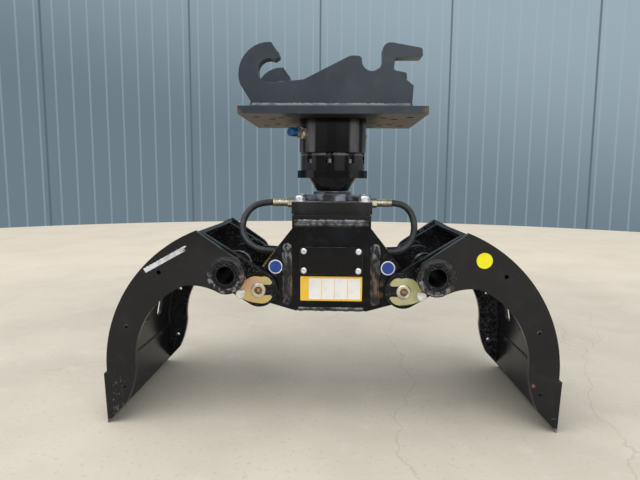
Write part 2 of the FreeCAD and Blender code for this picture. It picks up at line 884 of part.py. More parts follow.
def block_bolt(x, y):
    seat = block_top + washer_thickness
    washer = rod_z(x, y, 1.85 * block_bolt_radius, block_top, seat)
    head = hexagon(Vector(x, y, seat), 3 * block_bolt_radius, 1.4 * block_bolt_radius, Vector(0, 0, 1))
    crown = Part.makeCone(2.1 * block_bolt_radius, 1.35 * block_bolt_radius, 1.4 * block_bolt_radius + 4,
                          Vector(x, y, seat - 4))
    nut = hexagon(Vector(x, y, flange_base), 3 * block_bolt_radius, 1.4 * block_bolt_radius,
                  Vector(0, 0, -1))
    shank = rod_z(x, y, block_bolt_radius, flange_base - 1.6 * block_bolt_radius, seat)
    return shank.fuse(washer).fuse(head.common(crown)).fuse(nut)


keep("rotor_block", rotor_block())
keep("rotor_block_bolts", *[block_bolt(x, y) for x, y in block_bolt_places()])


# Rotator: shaft with its drum and vanes below, housings and ports above
def rotor_shaft():
    body = rod_z(0, 0, spline_radius, shaft_foot, cone_base)
    body = body.fuse(rod_z(0, 0, journal_radius, cone_base, ring_base + 1))
    body = body.fuse(rod_z(0, 0, drum_radius, ring_base + drum_end_gap, upper_base - drum_end_gap))
    body = body.fuse(rod_z(0, 0, spline_radius, upper_base - 1, shaft_top))
    body = body.cut(rod_z(0, 0, oil_bore_radius, shaft_foot, shaft_top))
    for vane in vane_solids():
        body = body.cut(vane)
    return body


def vane_solids():
    vanes = []
    for index in range(vane_count):
        vane = box((drum_radius - vane_seat, -vane_thickness / 2, ring_base + drum_end_gap),
                   (chamber_radius - vane_tip_gap, vane_thickness / 2, upper_base - drum_end_gap))
        vane.rotate(Vector(0, 0, 0), Vector(0, 0, 1), 360 / vane_count * index)
        vanes.append(vane)
    return vanes


def chamfered_square(side, z_from, z_to):
    half = side / 2
    flat = half - housing_chamfer
    corners = [(half, flat), (flat, half), (-flat, half), (-half, flat),
               (-half, -flat), (-flat, -half), (flat, -half), (half, -flat), (half, flat)]
    face = Part.Face(Part.makePolygon([Vector(x, y, z_from) for x, y in corners]))
    body = face.extrude(Vector(0, 0, z_to - z_from))
    upright = [edge for edge in body.Edges if abs(edge.BoundBox.ZLength - (z_to - z_from)) < 0.01]
    return body.makeFillet(housing_fillet, upright)


def ring_screw_places():
    places = []
    for index in range(ring_screws):
        places.append(around(0, 0, ring_screw_circle, -95 + 360 / ring_screws * index))
    return places


def lower_housing():
    body = chamfered_square(lower_side, lower_base, ring_base)
    cone = Part.makeCone(cone_bottom_radius, cone_top_radius, cone_height, Vector(0, 0, cone_base))
    rim = [edge for edge in cone.Edges if abs(edge.CenterOfMass.z - cone_base) < 0.01
           and edge.Closed]
    body = body.fuse(cone.makeFillet(housing_fillet, rim))
    bore = journal_radius + running_fit
    body = body.cut(rod_z(0, 0, bore, cone_base, ring_base))
    body = body.cut(rod_z(0, 0, journal_radius + seal_wall, seal_base, seal_base + seal_height))
    for x, y in ring_screw_places():
        body = body.cut(rod_z(x, y, ring_screw_radius, lower_base + screw_thread_lift, ring_base))
    return body


def shaft_seal():
    body = rod_z(0, 0, journal_radius + seal_wall, seal_base, seal_base + seal_height)
    return body.cut(rod_z(0, 0, journal_radius + running_fit, seal_base, seal_base + seal_height))


def cam_ring():
    body = rod_z(0, 0, ring_radius, ring_base, upper_base)
    body = body.cut(rod_z(0, 0, chamber_radius, ring_base, upper_base))
    seat = upper_base - scallop_height
    for x, y in ring_screw_places():
        out = Vector(x, y, 0).normalize() * scallop_mouth
        pocket = rod_z(x, y, scallop_radius, seat, upper_base)
        mouth = rod_z(x + out.x, y + out.y, scallop_radius, seat, upper_base)
        body = body.cut(pocket.fuse(mouth))
        body = body.cut(rod_z(x, y, ring_screw_radius, ring_base, upper_base))
    return body


def ring_screw(x, y):
    seat = upper_base - scallop_height
    head_radius = 1.5 * ring_screw_radius
    head_height = 2 * ring_screw_radius
    head = rod_z(x, y, head_radius, seat, seat + head_height)
    socket = hexagon(Vector(x, y, seat + head_height), ring_socket, ring_socket_depth, Vector(0, 0, -1))
    return head.cut(socket).fuse(rod_z(x, y, ring_screw_radius, lower_base + screw_thread_lift, seat))


def port_frames():
    # Start and way out of each port, one on a chamfered corner and two on the rear face
    height = Vector(0, 0, adapter_base - port_drop)
    angle = math.radians(corner_port_bearing)
    corner = Vector(math.cos(angle), math.sin(angle), 0)
    corner_face = (upper_side - housing_chamfer) / 2 * math.sqrt(2)
    frames = [(height + corner * corner_face, corner)]
    for side in (-1, 1):
        frames.append((height + Vector(side * rear_port_x, upper_side / 2, 0), Vector(0, 1, 0)))
    return frames


def plug_place():
    return Vector(upper_side / 2, plug_offset, adapter_base - port_drop - plug_drop)


def mount_places():
    step = 360 / mount_bolts
    return [around(0, 0, mount_circle, mount_first_bearing + step * index) for index in range(mount_bolts)]


def upper_housing():
    body = chamfered_square(upper_side, upper_base, adapter_base)
    brim = [edge for edge in body.Edges if abs(edge.CenterOfMass.z - upper_base) < 0.01]
    body = body.makeChamfer(2, brim)
    body = body.cut(rod_z(0, 0, spline_radius + running_fit, upper_base, shaft_top + shaft_top_room))
    for start, out in port_frames():
        body = body.cut(Part.makeCylinder(thread_radius, port_clear_depth, start, out * -1))
    body = body.cut(Part.makeCylinder(thread_radius, plug_thread + 2, plug_place(), Vector(-1, 0, 0)))
    for x, y in mount_places():
        body = body.cut(rod_z(x, y, mount_bolt_radius, adapter_base - mount_bolt_depth - mount_hole_room,
                              adapter_base))
    return body


def port_adapter(start, out):
    # Screwed in stub with two hexagons
    swivel = start + out * (port_hexagon_length + port_neck_length)
    body = Part.makeCylinder(thread_radius, thread_depth, start - out * thread_depth, out)
    body = body.fuse(hexagon(start, port_hexagon, port_hexagon_length, out))
    neck_start = start + out * port_hexagon_length
    body = body.fuse(Part.makeCylinder(thread_radius + 1, port_neck_length, neck_start, out))
    return body.fuse(hexagon(swivel, swivel_hexagon, swivel_length, out))


def port_cap(start, out):
    seat = start + out * (port_hexagon_length + port_neck_length + swivel_length)
    body = Part.makeCylinder(cap_radius, cap_length, seat, out)
    rims = [edge for edge in body.Edges if edge.Closed
            and (edge.CenterOfMass - seat).Length > cap_length / 2]
    return body.makeFillet(cap_round, rims)


def port_plug():
    body = Part.makeCylinder(thread_radius, plug_thread, plug_place(), Vector(-1, 0, 0))
    return body.fuse(Part.makeCylinder(plug_radius, plug_thickness, plug_place(), Vector(1, 0, 0)))


keep("rotor_shaft", rotor_shaft())
keep("rotor_vanes", *vane_solids())
keep("rotator_lower_housing", lower_housing())
keep("rotator_shaft_seal", shaft_seal())
keep("rotator_cam_ring", cam_ring())
keep("rotator_ring_screws", *[ring_screw(x, y) for x, y in ring_screw_places()])
keep("rotator_upper_housing", upper_housing())
keep("port_adapters", *[port_adapter(start, out) for start, out in port_frames()])
keep("port_caps", *[port_cap(start, out) for start, out in port_frames()])
keep("port_plug", port_plug())


# Adapter plate with its bolts and the two hitch ears
def adapter_plate():
    half_x = plate_length / 2
    half_y = plate_width / 2
    body = box((-half_x, -half_y, adapter_base), (half_x, half_y, adapter_top))
    corners = [edge for edge in body.Edges if abs(edge.BoundBox.ZLength - adapter_thickness) < 0.01]
    body = body.makeFillet(adapter_corner, corners)
    for x, y in (outer_holes, middle_holes, inner_holes):
        for side_x in (-1, 1):
            for side_y in (-1, 1):
                body = body.cut(rod_z(side_x * x, side_y * y, spare_hole_radius, adapter_base, adapter_top))
    for x, y in mount_places():
        body = body.cut(rod_z(x, y, mount_bolt_radius, adapter_base, adapter_top))
    return body


def mount_bolt(x, y):
    head = rod_z(x, y, 1.5 * mount_bolt_radius, adapter_top, adapter_top + 2 * mount_bolt_radius)
    head_top = Vector(x, y, adapter_top + 2 * mount_bolt_radius)
    socket = hexagon(head_top, mount_socket, mount_socket_depth, Vector(0, 0, -1))
    shank = rod_z(x, y, mount_bolt_radius, adapter_base - mount_bolt_depth, adapter_top)
    return head.cut(socket).fuse(shank)


def hitch_ear():
    # Hook for one machine pin, guide ramp, seat for the second pin and the latch horn
    hook_z = adapter_top + hook_rise
    notch_z = adapter_top + notch_rise
    top_z = adapter_top + ear_top_rise
    back_z = hook_z - hook_back_drop
    nose_x = hook_x + hook_nose
    nose_z = top_z - hook_nose_drop
    horn_x = notch_x + notch_radius
    horn_end = horn_x + horn_length
    ramp_z = notch_z + ramp_top_rise
    tail_x = horn_x + tail_reach
    tail_z = top_z - tail_shoulder_drop
    face = outline(
        (hook_x - ear_heel, adapter_top),
        (hook_x - ear_heel, adapter_top + ear_heel_rise),
        around(hook_x, back_z, hook_back_radius, 199),
        (around(hook_x, back_z, hook_back_radius, 145), around(hook_x, back_z, hook_back_radius, 86)),
        (nose_x, nose_z),
        ((nose_x + 6, nose_z - 11), (nose_x + 4, nose_z - 16)),
        around(hook_x, hook_z, hook_radius, 62),
        (around(hook_x, hook_z, hook_radius, 175), around(hook_x, hook_z, hook_radius, 276)),
        (hook_x + hook_throat_run, hook_z - hook_throat_drop),
        (notch_x - ramp_back, notch_z + ramp_rise),
        ((notch_x - ramp_top_back - 18, ramp_z), (notch_x - ramp_top_back, ramp_z)),
        ((notch_x - notch_radius - 3, ramp_z - 3), around(notch_x, notch_z, notch_radius, 180)),
        (around(notch_x, notch_z, notch_radius, 270), around(notch_x, notch_z, notch_radius, 0)),
        (horn_x, top_z - horn_neck_drop),
        ((horn_x + horn_round / 2, top_z - horn_round), (horn_x + horn_shoulder - horn_round, top_z)),
        (horn_x + horn_shoulder, top_z),
        (horn_end, top_z - horn_slope),
        ((horn_end + horn_round, top_z - horn_slope - 5), (horn_end + horn_round, top_z - 2 * horn_slope)),
        ((horn_end + horn_round - 1, top_z - horn_depth + 2), (horn_end, top_z - horn_depth)),
        (horn_x + horn_root, top_z - horn_depth),
        (horn_x + horn_root - 3, top_z - tail_notch_drop),
        (tail_x, tail_z),
        ((tail_x + tail_round, tail_z - tail_round), (tail_x + tail_round, tail_z - 2 * tail_round)),
        (tail_x + 1, adapter_top),
    )
    return plate(face, -ear_outside / 2, -ear_outside / 2 + ear_thickness)


ear = hitch_ear()
keep("adapter_plate", adapter_plate())
keep("rotator_mount_bolts", *[mount_bolt(x, y) for x, y in mount_places()])
keep("hitch_ear_front", ear)
keep("hitch_ear_rear", mirror_y(ear))


# Hoses from the block's side ports round into the frame
def tube(points, radius):
    vectors = [Vector(*point) for point in points]
    edges = []
    here = vectors[0]
    for index in range(1, len(vectors) - 1):
        before = vectors[index] - vectors[index - 1]
        after = vectors[index + 1] - vectors[index]
        half_turn = before.getAngle(after) / 2
        shorter = min(before.Length, after.Length)
        cut = 0.45 * shorter
        start = vectors[index] - before.normalize() * cut
        end = vectors[index] + after.normalize() * cut
        bend = cut / math.tan(half_turn)
        print("hose arc radius", round(bend, 1))
        inward = (end - vectors[index]).normalize() + (start - vectors[index]).normalize()
        middle = vectors[index] + inward.normalize() * (math.hypot(bend, cut) - bend)
        edges.append(Part.LineSegment(here, start).toShape())
        edges.append(Part.Arc(start, middle, end).toShape())
        here = end
    edges.append(Part.LineSegment(here, vectors[-1]).toShape())
    path = Part.Wire(edges)
    across = vectors[1] - vectors[0]
    profile = Part.Wire(Part.makeCircle(radius, vectors[0], across))
    body = path.makePipeShell([profile], True, False)
    length = path.Length
    print("hose length", round(length, 1), "volume ratio", body.Volume / (math.pi * radius ** 2 * length))
    return body


hose_start = block_side / 2 + port_adapter_length + ferrule_length
hose_end = web_outside + union_length + sleeve_length

left_route = [
    (-hose_start, 0, port_z),
    (-hose_start - 28, 0, port_z),
    (-hose_start - 66, -10, port_z - 13),
    (-hose_start - 91, -30, port_z - 50),
    (-hose_start - 88, -58, port_z - 94),
    (-hose_start - 60, -84, port_z - 127),
    (-hose_end - 41, bulkhead_y, bulkhead_z),
    (-hose_end, bulkhead_y, bulkhead_z),
]
right_route = [
    (hose_start, 0, port_z),
    (hose_start + 24, 0, port_z),
    (hose_start + 53, -10, port_z - 16),
    (hose_start + 68, -30, port_z - 52),
    (hose_start + 64, -58, port_z - 92),
    (hose_start + 44, -84, port_z - 124),
    (hose_end + 34, bulkhead_y, bulkhead_z),
    (hose_end, bulkhead_y, bulkhead_z),
]


def hose_ends(side):
    # Port adapter in the block, crimped ferrule, and the bulkhead union in the web
    face = side * block_side / 2
    out = Vector(side, 0, 0)
    port = Vector(face, 0, port_z)
    adapter = Part.makeCylinder(port_radius, port_thread, port - out * port_thread, out)
    adapter = adapter.fuse(hexagon(port, port_hexagon_across, port_adapter_length, out))
    ferrule = Part.makeCylinder(ferrule_radius + ferrule_wall, ferrule_length,
                                port + out * port_adapter_length, out)
    web_face = Vector(side * web_outside, bulkhead_y, bulkhead_z)
    through = web_thickness + union_tail
    union = Part.makeCylinder(ferrule_radius, through, web_face - out * through, out)
    union = union.fuse(hexagon(web_face, union_hexagon_across, union_length, out))
    sleeve_start = web_face + out * union_length
    sleeve = Part.makeCylinder(ferrule_radius + ferrule_wall, sleeve_length, sleeve_start, out)
    return [adapter, union], [ferrule, sleeve]


left_unions, left_ferrules = hose_ends(-1)
right_unions, right_ferrules = hose_ends(1)
keep("hose_left", tube(left_route, hose_radius))
keep("hose_right", tube(right_route, hose_radius))
keep("hose_unions", *left_unions, *right_unions)
keep("hose_ferrules", *left_ferrules, *right_ferrules)

print("closing angle", closing_angle)
print("cylinder pin", lever_x, lever_z, "stroke", stroke)
print("stroke room", gland_inner - cap_inner - piston_length - end_play)
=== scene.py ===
import math

import bmesh
import bpy
from mathutils import Matrix, Vector, noise


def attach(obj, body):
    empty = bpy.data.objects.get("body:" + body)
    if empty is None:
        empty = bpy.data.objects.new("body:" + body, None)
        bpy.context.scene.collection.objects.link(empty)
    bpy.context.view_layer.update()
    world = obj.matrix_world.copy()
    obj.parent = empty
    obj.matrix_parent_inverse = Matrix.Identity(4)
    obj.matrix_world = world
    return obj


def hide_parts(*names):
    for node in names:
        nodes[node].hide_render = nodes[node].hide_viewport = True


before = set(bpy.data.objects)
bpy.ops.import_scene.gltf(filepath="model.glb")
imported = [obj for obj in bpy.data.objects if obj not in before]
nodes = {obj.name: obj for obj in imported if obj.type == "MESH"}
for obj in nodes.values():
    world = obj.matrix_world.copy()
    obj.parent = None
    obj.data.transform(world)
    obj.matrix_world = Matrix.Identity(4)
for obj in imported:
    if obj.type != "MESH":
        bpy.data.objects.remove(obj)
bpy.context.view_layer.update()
scene = bpy.context.scene
print("frame loaded with", len(nodes), "nodes")


def newObject(name, data):
    made = bpy.data.objects.new(name, data)
    scene.collection.objects.link(made)
    return made


# camera, as the grapple was photographed from in front and a little above
cameraLook = {
    "lens": 28.41, "sensor": 36,
    "place": (0.01473, -1.5828, 0.68095),
    "turnLeft": 1.891, "lookDown": 6.686, "roll": 0.4005,  # degrees
}


def makeCamera():
    data = bpy.data.cameras.new("yardCamera")
    data.lens = cameraLook["lens"]
    data.sensor_width = cameraLook["sensor"]
    camera = newObject("yardCamera", data)
    turn, down, roll = (math.radians(cameraLook[key]) for key in ("turnLeft", "lookDown", "roll"))
    ahead = Vector((-math.sin(turn) * math.cos(down), math.cos(turn) * math.cos(down), -math.sin(down)))
    across = Vector((math.cos(turn), math.sin(turn), 0))
    above = across.cross(ahead)
    right = across * math.cos(roll) + above * math.sin(roll)
    up = above * math.cos(roll) - across * math.sin(roll)
    facing = Matrix((right, up, -ahead)).transposed().to_4x4()
    camera.matrix_world = Matrix.Translation(cameraLook["place"]) @ facing
    scene.camera = camera


makeCamera()
print("camera ready")


# hoses, from the block's side ports round into the frame
hoseLook = {
    "diameter": 0.020,
    "roundness": 8,
    "smoothness": 16,
    "left": {
        "length": 0.300,
        "route": [
            (-0.184, 0, 0.613), (-0.212, 0, 0.613), (-0.250, -0.010, 0.600),
            (-0.275, -0.030, 0.563), (-0.272, -0.058, 0.519), (-0.244, -0.084, 0.486),
            (-0.204, -0.095, 0.472), (-0.163, -0.095, 0.472),
        ],
    },
    "right": {
        "length": 0.264,
        "route": [
            (0.184, 0, 0.613), (0.208, 0, 0.613), (0.237, -0.010, 0.597),
            (0.252, -0.030, 0.561), (0.248, -0.058, 0.521), (0.228, -0.084, 0.489),
            (0.197, -0.095, 0.472), (0.163, -0.095, 0.472),
        ],
    },
}


def makeHose(side):
    look = hoseLook[side]
    curve = bpy.data.curves.new(side + "Hose", "CURVE")
    curve.dimensions = "3D"
    curve.bevel_depth = 1  # scaled by each point's radius
    curve.bevel_resolution = hoseLook["roundness"]
    curve.resolution_u = hoseLook["smoothness"]
    curve.use_fill_caps = True
    spline = curve.splines.new("NURBS")
    spline.points.add(len(look["route"]) - 1)
    for point, place in zip(spline.points, look["route"]):
        point.co = (*place, 1)
        point.radius = hoseLook["diameter"] / 2
    spline.order_u = 3
    spline.use_endpoint_u = True
    hose = newObject(side + "Hose", curve)
    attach(hose, "frame")
    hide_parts("hose_" + side)
    return hose


leftHose = makeHose("left")
rightHose = makeHose("right")
print("hoses laid")


# helpers that add nodes to a material or to the sky, and link or set their inputs
class Wiring:
    def __init__(self, tree):
        self.tree = tree

    def feed(self, socket, value):
        if isinstance(value, bpy.types.NodeSocket):
            self.tree.links.new(value, socket)
        elif isinstance(value, tuple) and socket.type == "RGBA":
            socket.default_value = (*value, 1)
        else:
            socket.default_value = value

    def add(self, kind, settings=None, inputs=None):
        made = self.tree.nodes.new("ShaderNode" + kind)
        for key, value in (settings or {}).items():
            setattr(made, key, value)
        for key, value in (inputs or {}).items():
            self.feed(made.inputs[key], value)
        return made

    def calc(self, operation, *values):
        return self.add("Math", {"operation": operation}, dict(enumerate(values))).outputs[0]

    def times(self, first, *others):
        for other in others:
            first = self.calc("MULTIPLY", first, other)
        return first

    def between(self, value, start, full):
        # a smooth rise from none at the start to all
        made = self.add("MapRange", {"interpolation_type": "SMOOTHSTEP", "clamp": True},
                        {"Value": value, "From Min": start, "From Max": full})
        return made.outputs[0]

    def band(self, value, start, full, fading, end):
        return self.times(self.between(value, start, full), self.between(value, end, fading))

    def blend(self, share, first, second):
        return self.add("Mix", {"data_type": "RGBA"}, {0: share, 6: first, 7: second}).outputs[2]

    def shown(self):
        # what the camera sees, straight, mirrored or through glass
        rays = self.add("LightPath").outputs
        others = self.calc("MAXIMUM", rays["Is Glossy Ray"], rays["Is Transmission Ray"])
        return self.calc("MAXIMUM", rays["Is Camera Ray"], others)


class Shader(Wiring):
    def __init__(self, name):
        self.material = bpy.data.materials.new(name)
        self.material.use_nodes = True
        super().__init__(self.material.node_tree)
        self.surface = self.tree.nodes["Principled BSDF"]
        self.coords = self.add("TexCoord").outputs["Object"]

    def cloud(self, scale, detail, stretch=(1, 1, 1)):
        # soft noise, the scale is in lumps per metre
        place = self.add("Mapping", inputs={"Vector": self.coords, "Scale": stretch}).outputs[0]
        return self.add("TexNoise", inputs={"Vector": place, "Scale": scale, "Detail": detail}).outputs[0]

    def mask(self, scale, detail, start, full, stretch=(1, 1, 1)):
        return self.between(self.cloud(scale, detail, stretch), start, full)

    def spread(self, value, low, high):
        made = self.add("MapRange", {"clamp": True}, {"Value": value, "From Min": 0.25, "From Max": 0.75,
                                                      "To Min": low, "To Max": high})
        return made.outputs[0]

    def vary(self, scale, detail, low, high, stretch=(1, 1, 1)):
        return self.spread(self.cloud(scale, detail, stretch), low, high)

    def cells(self, scale):
        made = self.add("TexVoronoi", {"feature": "F1"}, {"Vector": self.coords, "Scale": scale})
        return made.outputs["Distance"]

    def rounded(self, radius):
        # the normals that a rounded edge would have
        self.bevel = self.add("Bevel", {"samples": 6}, {"Radius": radius}).outputs[0]
        return self.bevel

    def edges(self, radius, start, full):
        # how far a rounded edge would turn from the true face
        true = self.add("NewGeometry").outputs["True Normal"]
        turn = self.add("VectorMath", {"operation": "DOT_PRODUCT"}, {0: self.rounded(radius), 1: true})
        return self.between(self.calc("SUBTRACT", 1.0, turn.outputs["Value"]), start, full)

    def facing(self, axis, start, full):
        # faces whose normal points along an axis of the piece itself
        normal = self.add("TexCoord").outputs["Normal"]
        return self.between(self.add("SeparateXYZ", inputs={"Vector": normal}).outputs[axis], start, full)

    def along(self, axis):
        return self.add("SeparateXYZ", inputs={"Vector": self.coords}).outputs[axis]

    def aside(self, axis):
        return self.calc("ABSOLUTE", self.along(axis))

    def near(self, place, radius, ragged):
        # a ragged round patch about a place
        gap = self.add("VectorMath", {"operation": "DISTANCE"}, {0: self.coords, 1: place}).outputs["Value"]
        wobble = self.times(self.calc("SUBTRACT", self.cloud(60.0, 4.0), 0.5), ragged)
        return self.between(self.calc("ADD", gap, wobble), radius, radius * 0.35)

    def spots(self, color, places, radius, ragged, share, tint):
        for place in places:
            color = self.blend(self.times(self.near(place, radius, ragged), share), color, tint)
        return color

    def relief(self, height, strength, depth, under=None):
        made = self.add("Bump", inputs={"Height": height, "Strength": strength, "Distance": depth})
        if under is not None:
            self.feed(made.inputs["Normal"], under)
        return made.outputs[0]

    def finish(self, color, roughness, normal, fixed=None):
        inputs = {"Base Color": color, "Roughness": roughness, "Normal": normal, **(fixed or {})}
        for key, value in inputs.items():
            self.feed(self.surface.inputs[key], value)
        return self.material


# paint on plates: colour, patches of dust, paler edges that are partly worn paint and partly a painted
# highlight, orange peel
# a pattern of noise is lumps per metre, detail, the levels where it starts and is full, and its stretch
coatLook = {
    "fade": (5.5, 6.0, 0.42, 0.68),
    "dust": (24.0, 8.0, 0.50, 0.72),
    "specks": (420.0, 2.0, 0.70, 0.76), "speckShare": 1.5,
    "edgeWearAndSheen": (36.0, 5.0, 0.34, 0.56), "edgeTurn": (0.02, 0.22),
    "gloss": (9.0, 6.0),
    "peel": (650.0, 2.0), "peelDepth": 0.0004,
    "dents": (22.0, 3.0), "dentStrength": 0.06, "dentDepth": 0.003,
}
paintLooks = {
    "jaw": {
        "base": (0.0062, 0.0067, 0.0080), "faded": (0.0104, 0.0114, 0.0138), "dust": (0.082, 0.080, 0.078),
        "edge": (0.045, 0.046, 0.049), "dusty": 0.07,
        "gloss": (0.15, 0.26), "edgeRadius": 0.0014, "peel": 0.08,
    },
    "inner": {
        "base": (0.0034, 0.0035, 0.0040), "faded": (0.0078, 0.0081, 0.0092), "dust": (0.10, 0.10, 0.10),
        "edge": (0.17, 0.175, 0.185), "dusty": 0.07,
        "gloss": (0.20, 0.40), "edgeRadius": 0.0016, "peel": 0.10,
    },
    "frame": {
        "base": (0.0022, 0.0026, 0.0034), "faded": (0.0052, 0.0058, 0.0076), "dust": (0.10, 0.10, 0.11),
        "edge": (0.070, 0.073, 0.078), "dusty": 0.10,
        "gloss": (0.13, 0.26), "edgeRadius": 0.0014, "peel": 0.10,
    },
    # the cover plate's edges are paler still, a stronger painted highlight
    "cover": {
        "base": (0.0030, 0.0032, 0.0038), "faded": (0.0052, 0.0055, 0.0064), "dust": (0.10, 0.10, 0.10),
        "edge": (0.22, 0.22, 0.23), "dusty": 0.05,
        "gloss": (0.20, 0.30), "edgeRadius": 0.0016, "peel": 0.05,
    },
    "rotator": {
        "base": (0.0058, 0.0055, 0.0060), "faded": (0.0150, 0.0136, 0.0138), "dust": (0.07, 0.065, 0.06),
        "edge": (0.070, 0.068, 0.066), "dusty": 0.05,
        "gloss": (0.10, 0.20), "edgeRadius": 0.0014, "peel": 0.10,
    },
    "hitch": {
        "base": (0.026, 0.035, 0.045), "faded": (0.036, 0.047, 0.058), "dust": (0.15, 0.15, 0.155),
        "edge": (0.13, 0.145, 0.16), "dusty": 0.08,
        "gloss": (0.30, 0.42), "edgeRadius": 0.0020, "peel": 0.06,
    },
}


def paintColor(shader, look):
    color = shader.blend(shader.mask(*coatLook["fade"]), look["base"], look["faded"])
    specks = shader.times(shader.mask(*coatLook["specks"]), coatLook["speckShare"])
    dusty = shader.calc("ADD", shader.mask(*coatLook["dust"]), specks)
    color = shader.blend(shader.times(dusty, look["dusty"]), color, look["dust"])
    # pale edges: partly worn paint, partly a painted highlight where an edge would catch the light
    paleEdges = shader.times(shader.edges(look["edgeRadius"], *coatLook["edgeTurn"]),
                        shader.mask(*coatLook["edgeWearAndSheen"]))
    return shader.blend(paleEdges, color, look["edge"])


def paintNormal(shader, look):
    peel = shader.relief(shader.cloud(*coatLook["peel"]), look["peel"], coatLook["peelDepth"], shader.bevel)
    dents = shader.cloud(*coatLook["dents"])
    return shader.relief(dents, coatLook["dentStrength"], coatLook["dentDepth"], peel)


def paint(name, kind, specular=0.34):
    look = paintLooks[kind]
    shader = Shader(name)
    color = paintColor(shader, look)
    gloss = shader.vary(*coatLook["gloss"], *look["gloss"])
    return shader.finish(color, gloss, paintNormal(shader, look), {"Specular IOR Level": specular})


# the plate's downward faces are tinted warm tan in patches, and blackened in a band across the middle round
# the rotator
plateLook = {
    "under": (-0.5, -0.9),
    "undersideTan": (0.176, 0.144, 0.114), "undersideTanPatches": (9.0, 6.0, 0.62, 0.92), "rougher": 0.35,
    "undersideBlack": (0.005, 0.005, 0.006), "undersideBlackHalf": (0.150, 0.112),
    "ragged": (16.0, 6.0, -0.012, 0.012),
    "rust": {
        "places": [(-0.259, -0.190, 0.866), (0.259, -0.186, 0.872), (0.252, 0.188, 0.866),
                   (-0.255, 0.190, 0.872)],
        "radius": 0.020, "ragged": 0.030, "share": 0.5, "tint": (0.26, 0.12, 0.045),
    },
}


def platePaint():
    look = paintLooks["hitch"]
    shader = Shader("platePaint")
    color = paintColor(shader, look)
    # downward faces tinted warm tan in patches
    under = shader.facing("Z", *plateLook["under"])
    film = shader.times(under, shader.vary(*plateLook["undersideTanPatches"]))
    color = shader.blend(film, color, plateLook["undersideTan"])
    # downward faces blackened in a band across the middle, round the rotator
    aside = shader.calc("ADD", shader.aside("X"), shader.vary(*plateLook["ragged"]))
    black = shader.times(under, shader.between(aside, *plateLook["undersideBlackHalf"]))
    color = shader.blend(black, color, plateLook["undersideBlack"])
    color = shader.spots(color, **plateLook["rust"])
    gloss = shader.vary(*coatLook["gloss"], *look["gloss"])
    gloss = shader.calc("ADD", gloss, shader.times(under, plateLook["rougher"]))
    return shader.finish(color, gloss, paintNormal(shader, look), {"Specular IOR Level": 0.32})


# arms and tubes sit between the plates, with weld spatter left under the paint; the drops are painted pale,
# as painted glints
spatterLook = {
    "scale": 210.0, "patches": (0.40, 0.54), "share": 0.85, "tint": (0.150, 0.153, 0.162),
    "strength": 0.7, "depth": 0.0016, "gloss": (14.0, 6.0, 0.26, 0.46),
}


def spatter(shader, scale, start, full):
    # round drops, in patches
    drops = shader.between(shader.cells(scale), 0.40, 0.12)
    return shader.times(drops, shader.mask(30.0, 4.0, start, full))


def spatteredPaint(name, kind):
    look = paintLooks[kind]
    shader = Shader(name)
    color = paintColor(shader, look)
    drops = spatter(shader, spatterLook["scale"], *spatterLook["patches"])
    # the pale drops are painted glints on the raised spatter
    color = shader.blend(shader.times(drops, spatterLook["share"]), color, spatterLook["tint"])
    raised = shader.relief(drops, spatterLook["strength"], spatterLook["depth"], paintNormal(shader, look))
    return shader.finish(color, shader.vary(*spatterLook["gloss"]), raised, {"Specular IOR Level": 0.16})


# rotator housings, glossy: painted reflections in pale bands beside each chamfer, painted shade down the
# middle of each face and at the top under the plate
rotatorLook = {
    "light": (0.195, 0.192, 0.205), "dark": (0.0018, 0.0018, 0.0022), "rimHighlight": (0.22, 0.21, 0.22),
    "ragged": (16.0, 5.0, -0.010, 0.010, (1.0, 1.0, 0.05)),
    "film": (60.0, 5.0, 0.30, 0.95, (1.0, 1.0, 0.2)),
    "reflectionBands": (0.046, 0.056, 0.076, 0.086),  # out from the middle
    "middleShade": (0.016, 0.008), "middleShadeShare": 0.8,
    "rimHighlights": (0.7535, 0.7575, 0.7600, 0.7625),  # heights
    "shadeUnderPlate": (0.838, 0.857), "shadeUnderPlateShare": 0.85,
}


def rotatorPaint(name, depth, reflectionShare, rimHighlights=False):
    # depth darkens the coat; the top edge of the cam ring, where it meets the housing above it, gets a
    # painted highlight
    look = paintLooks["rotator"]
    dark = rotatorLook["dark"]
    shader = Shader(name)
    color = shader.blend(depth, paintColor(shader, look), dark)
    ragged = shader.vary(*rotatorLook["ragged"])
    paintedReflections = 0.0
    for axis in ("X", "Y"):
        aside = shader.calc("ADD", shader.aside(axis), ragged)
        # pale bands beside each chamfer: painted reflections
        paintedReflections = shader.calc("MAXIMUM", shader.band(aside, *rotatorLook["reflectionBands"]), paintedReflections)
        # a dark band down the middle of each face: painted shade, as of a groove
        middleShade = shader.between(aside, *rotatorLook["middleShade"])
        color = shader.blend(shader.times(middleShade, rotatorLook["middleShadeShare"]), color, dark)
    film = shader.vary(*rotatorLook["film"])
    color = shader.blend(shader.times(paintedReflections, film, reflectionShare), color, rotatorLook["light"])
    height = shader.along("Z")
    if rimHighlights:
        # a painted highlight along the cam ring's top edge
        rimHighlight = shader.band(height, *rotatorLook["rimHighlights"])
        color = shader.blend(shader.times(rimHighlight, film), color, rotatorLook["rimHighlight"])
    # painted shade at the top of the housing, under the plate
    shadeUnderPlate = shader.times(shader.between(height, *rotatorLook["shadeUnderPlate"]), rotatorLook["shadeUnderPlateShare"])
    color = shader.blend(shadeUnderPlate, color, dark)
    gloss = shader.vary(*coatLook["gloss"], *look["gloss"])
    return shader.finish(color, gloss, paintNormal(shader, look),
                         {"Specular IOR Level": 0.19, "Coat Weight": 0.08, "Coat Roughness": 0.12})
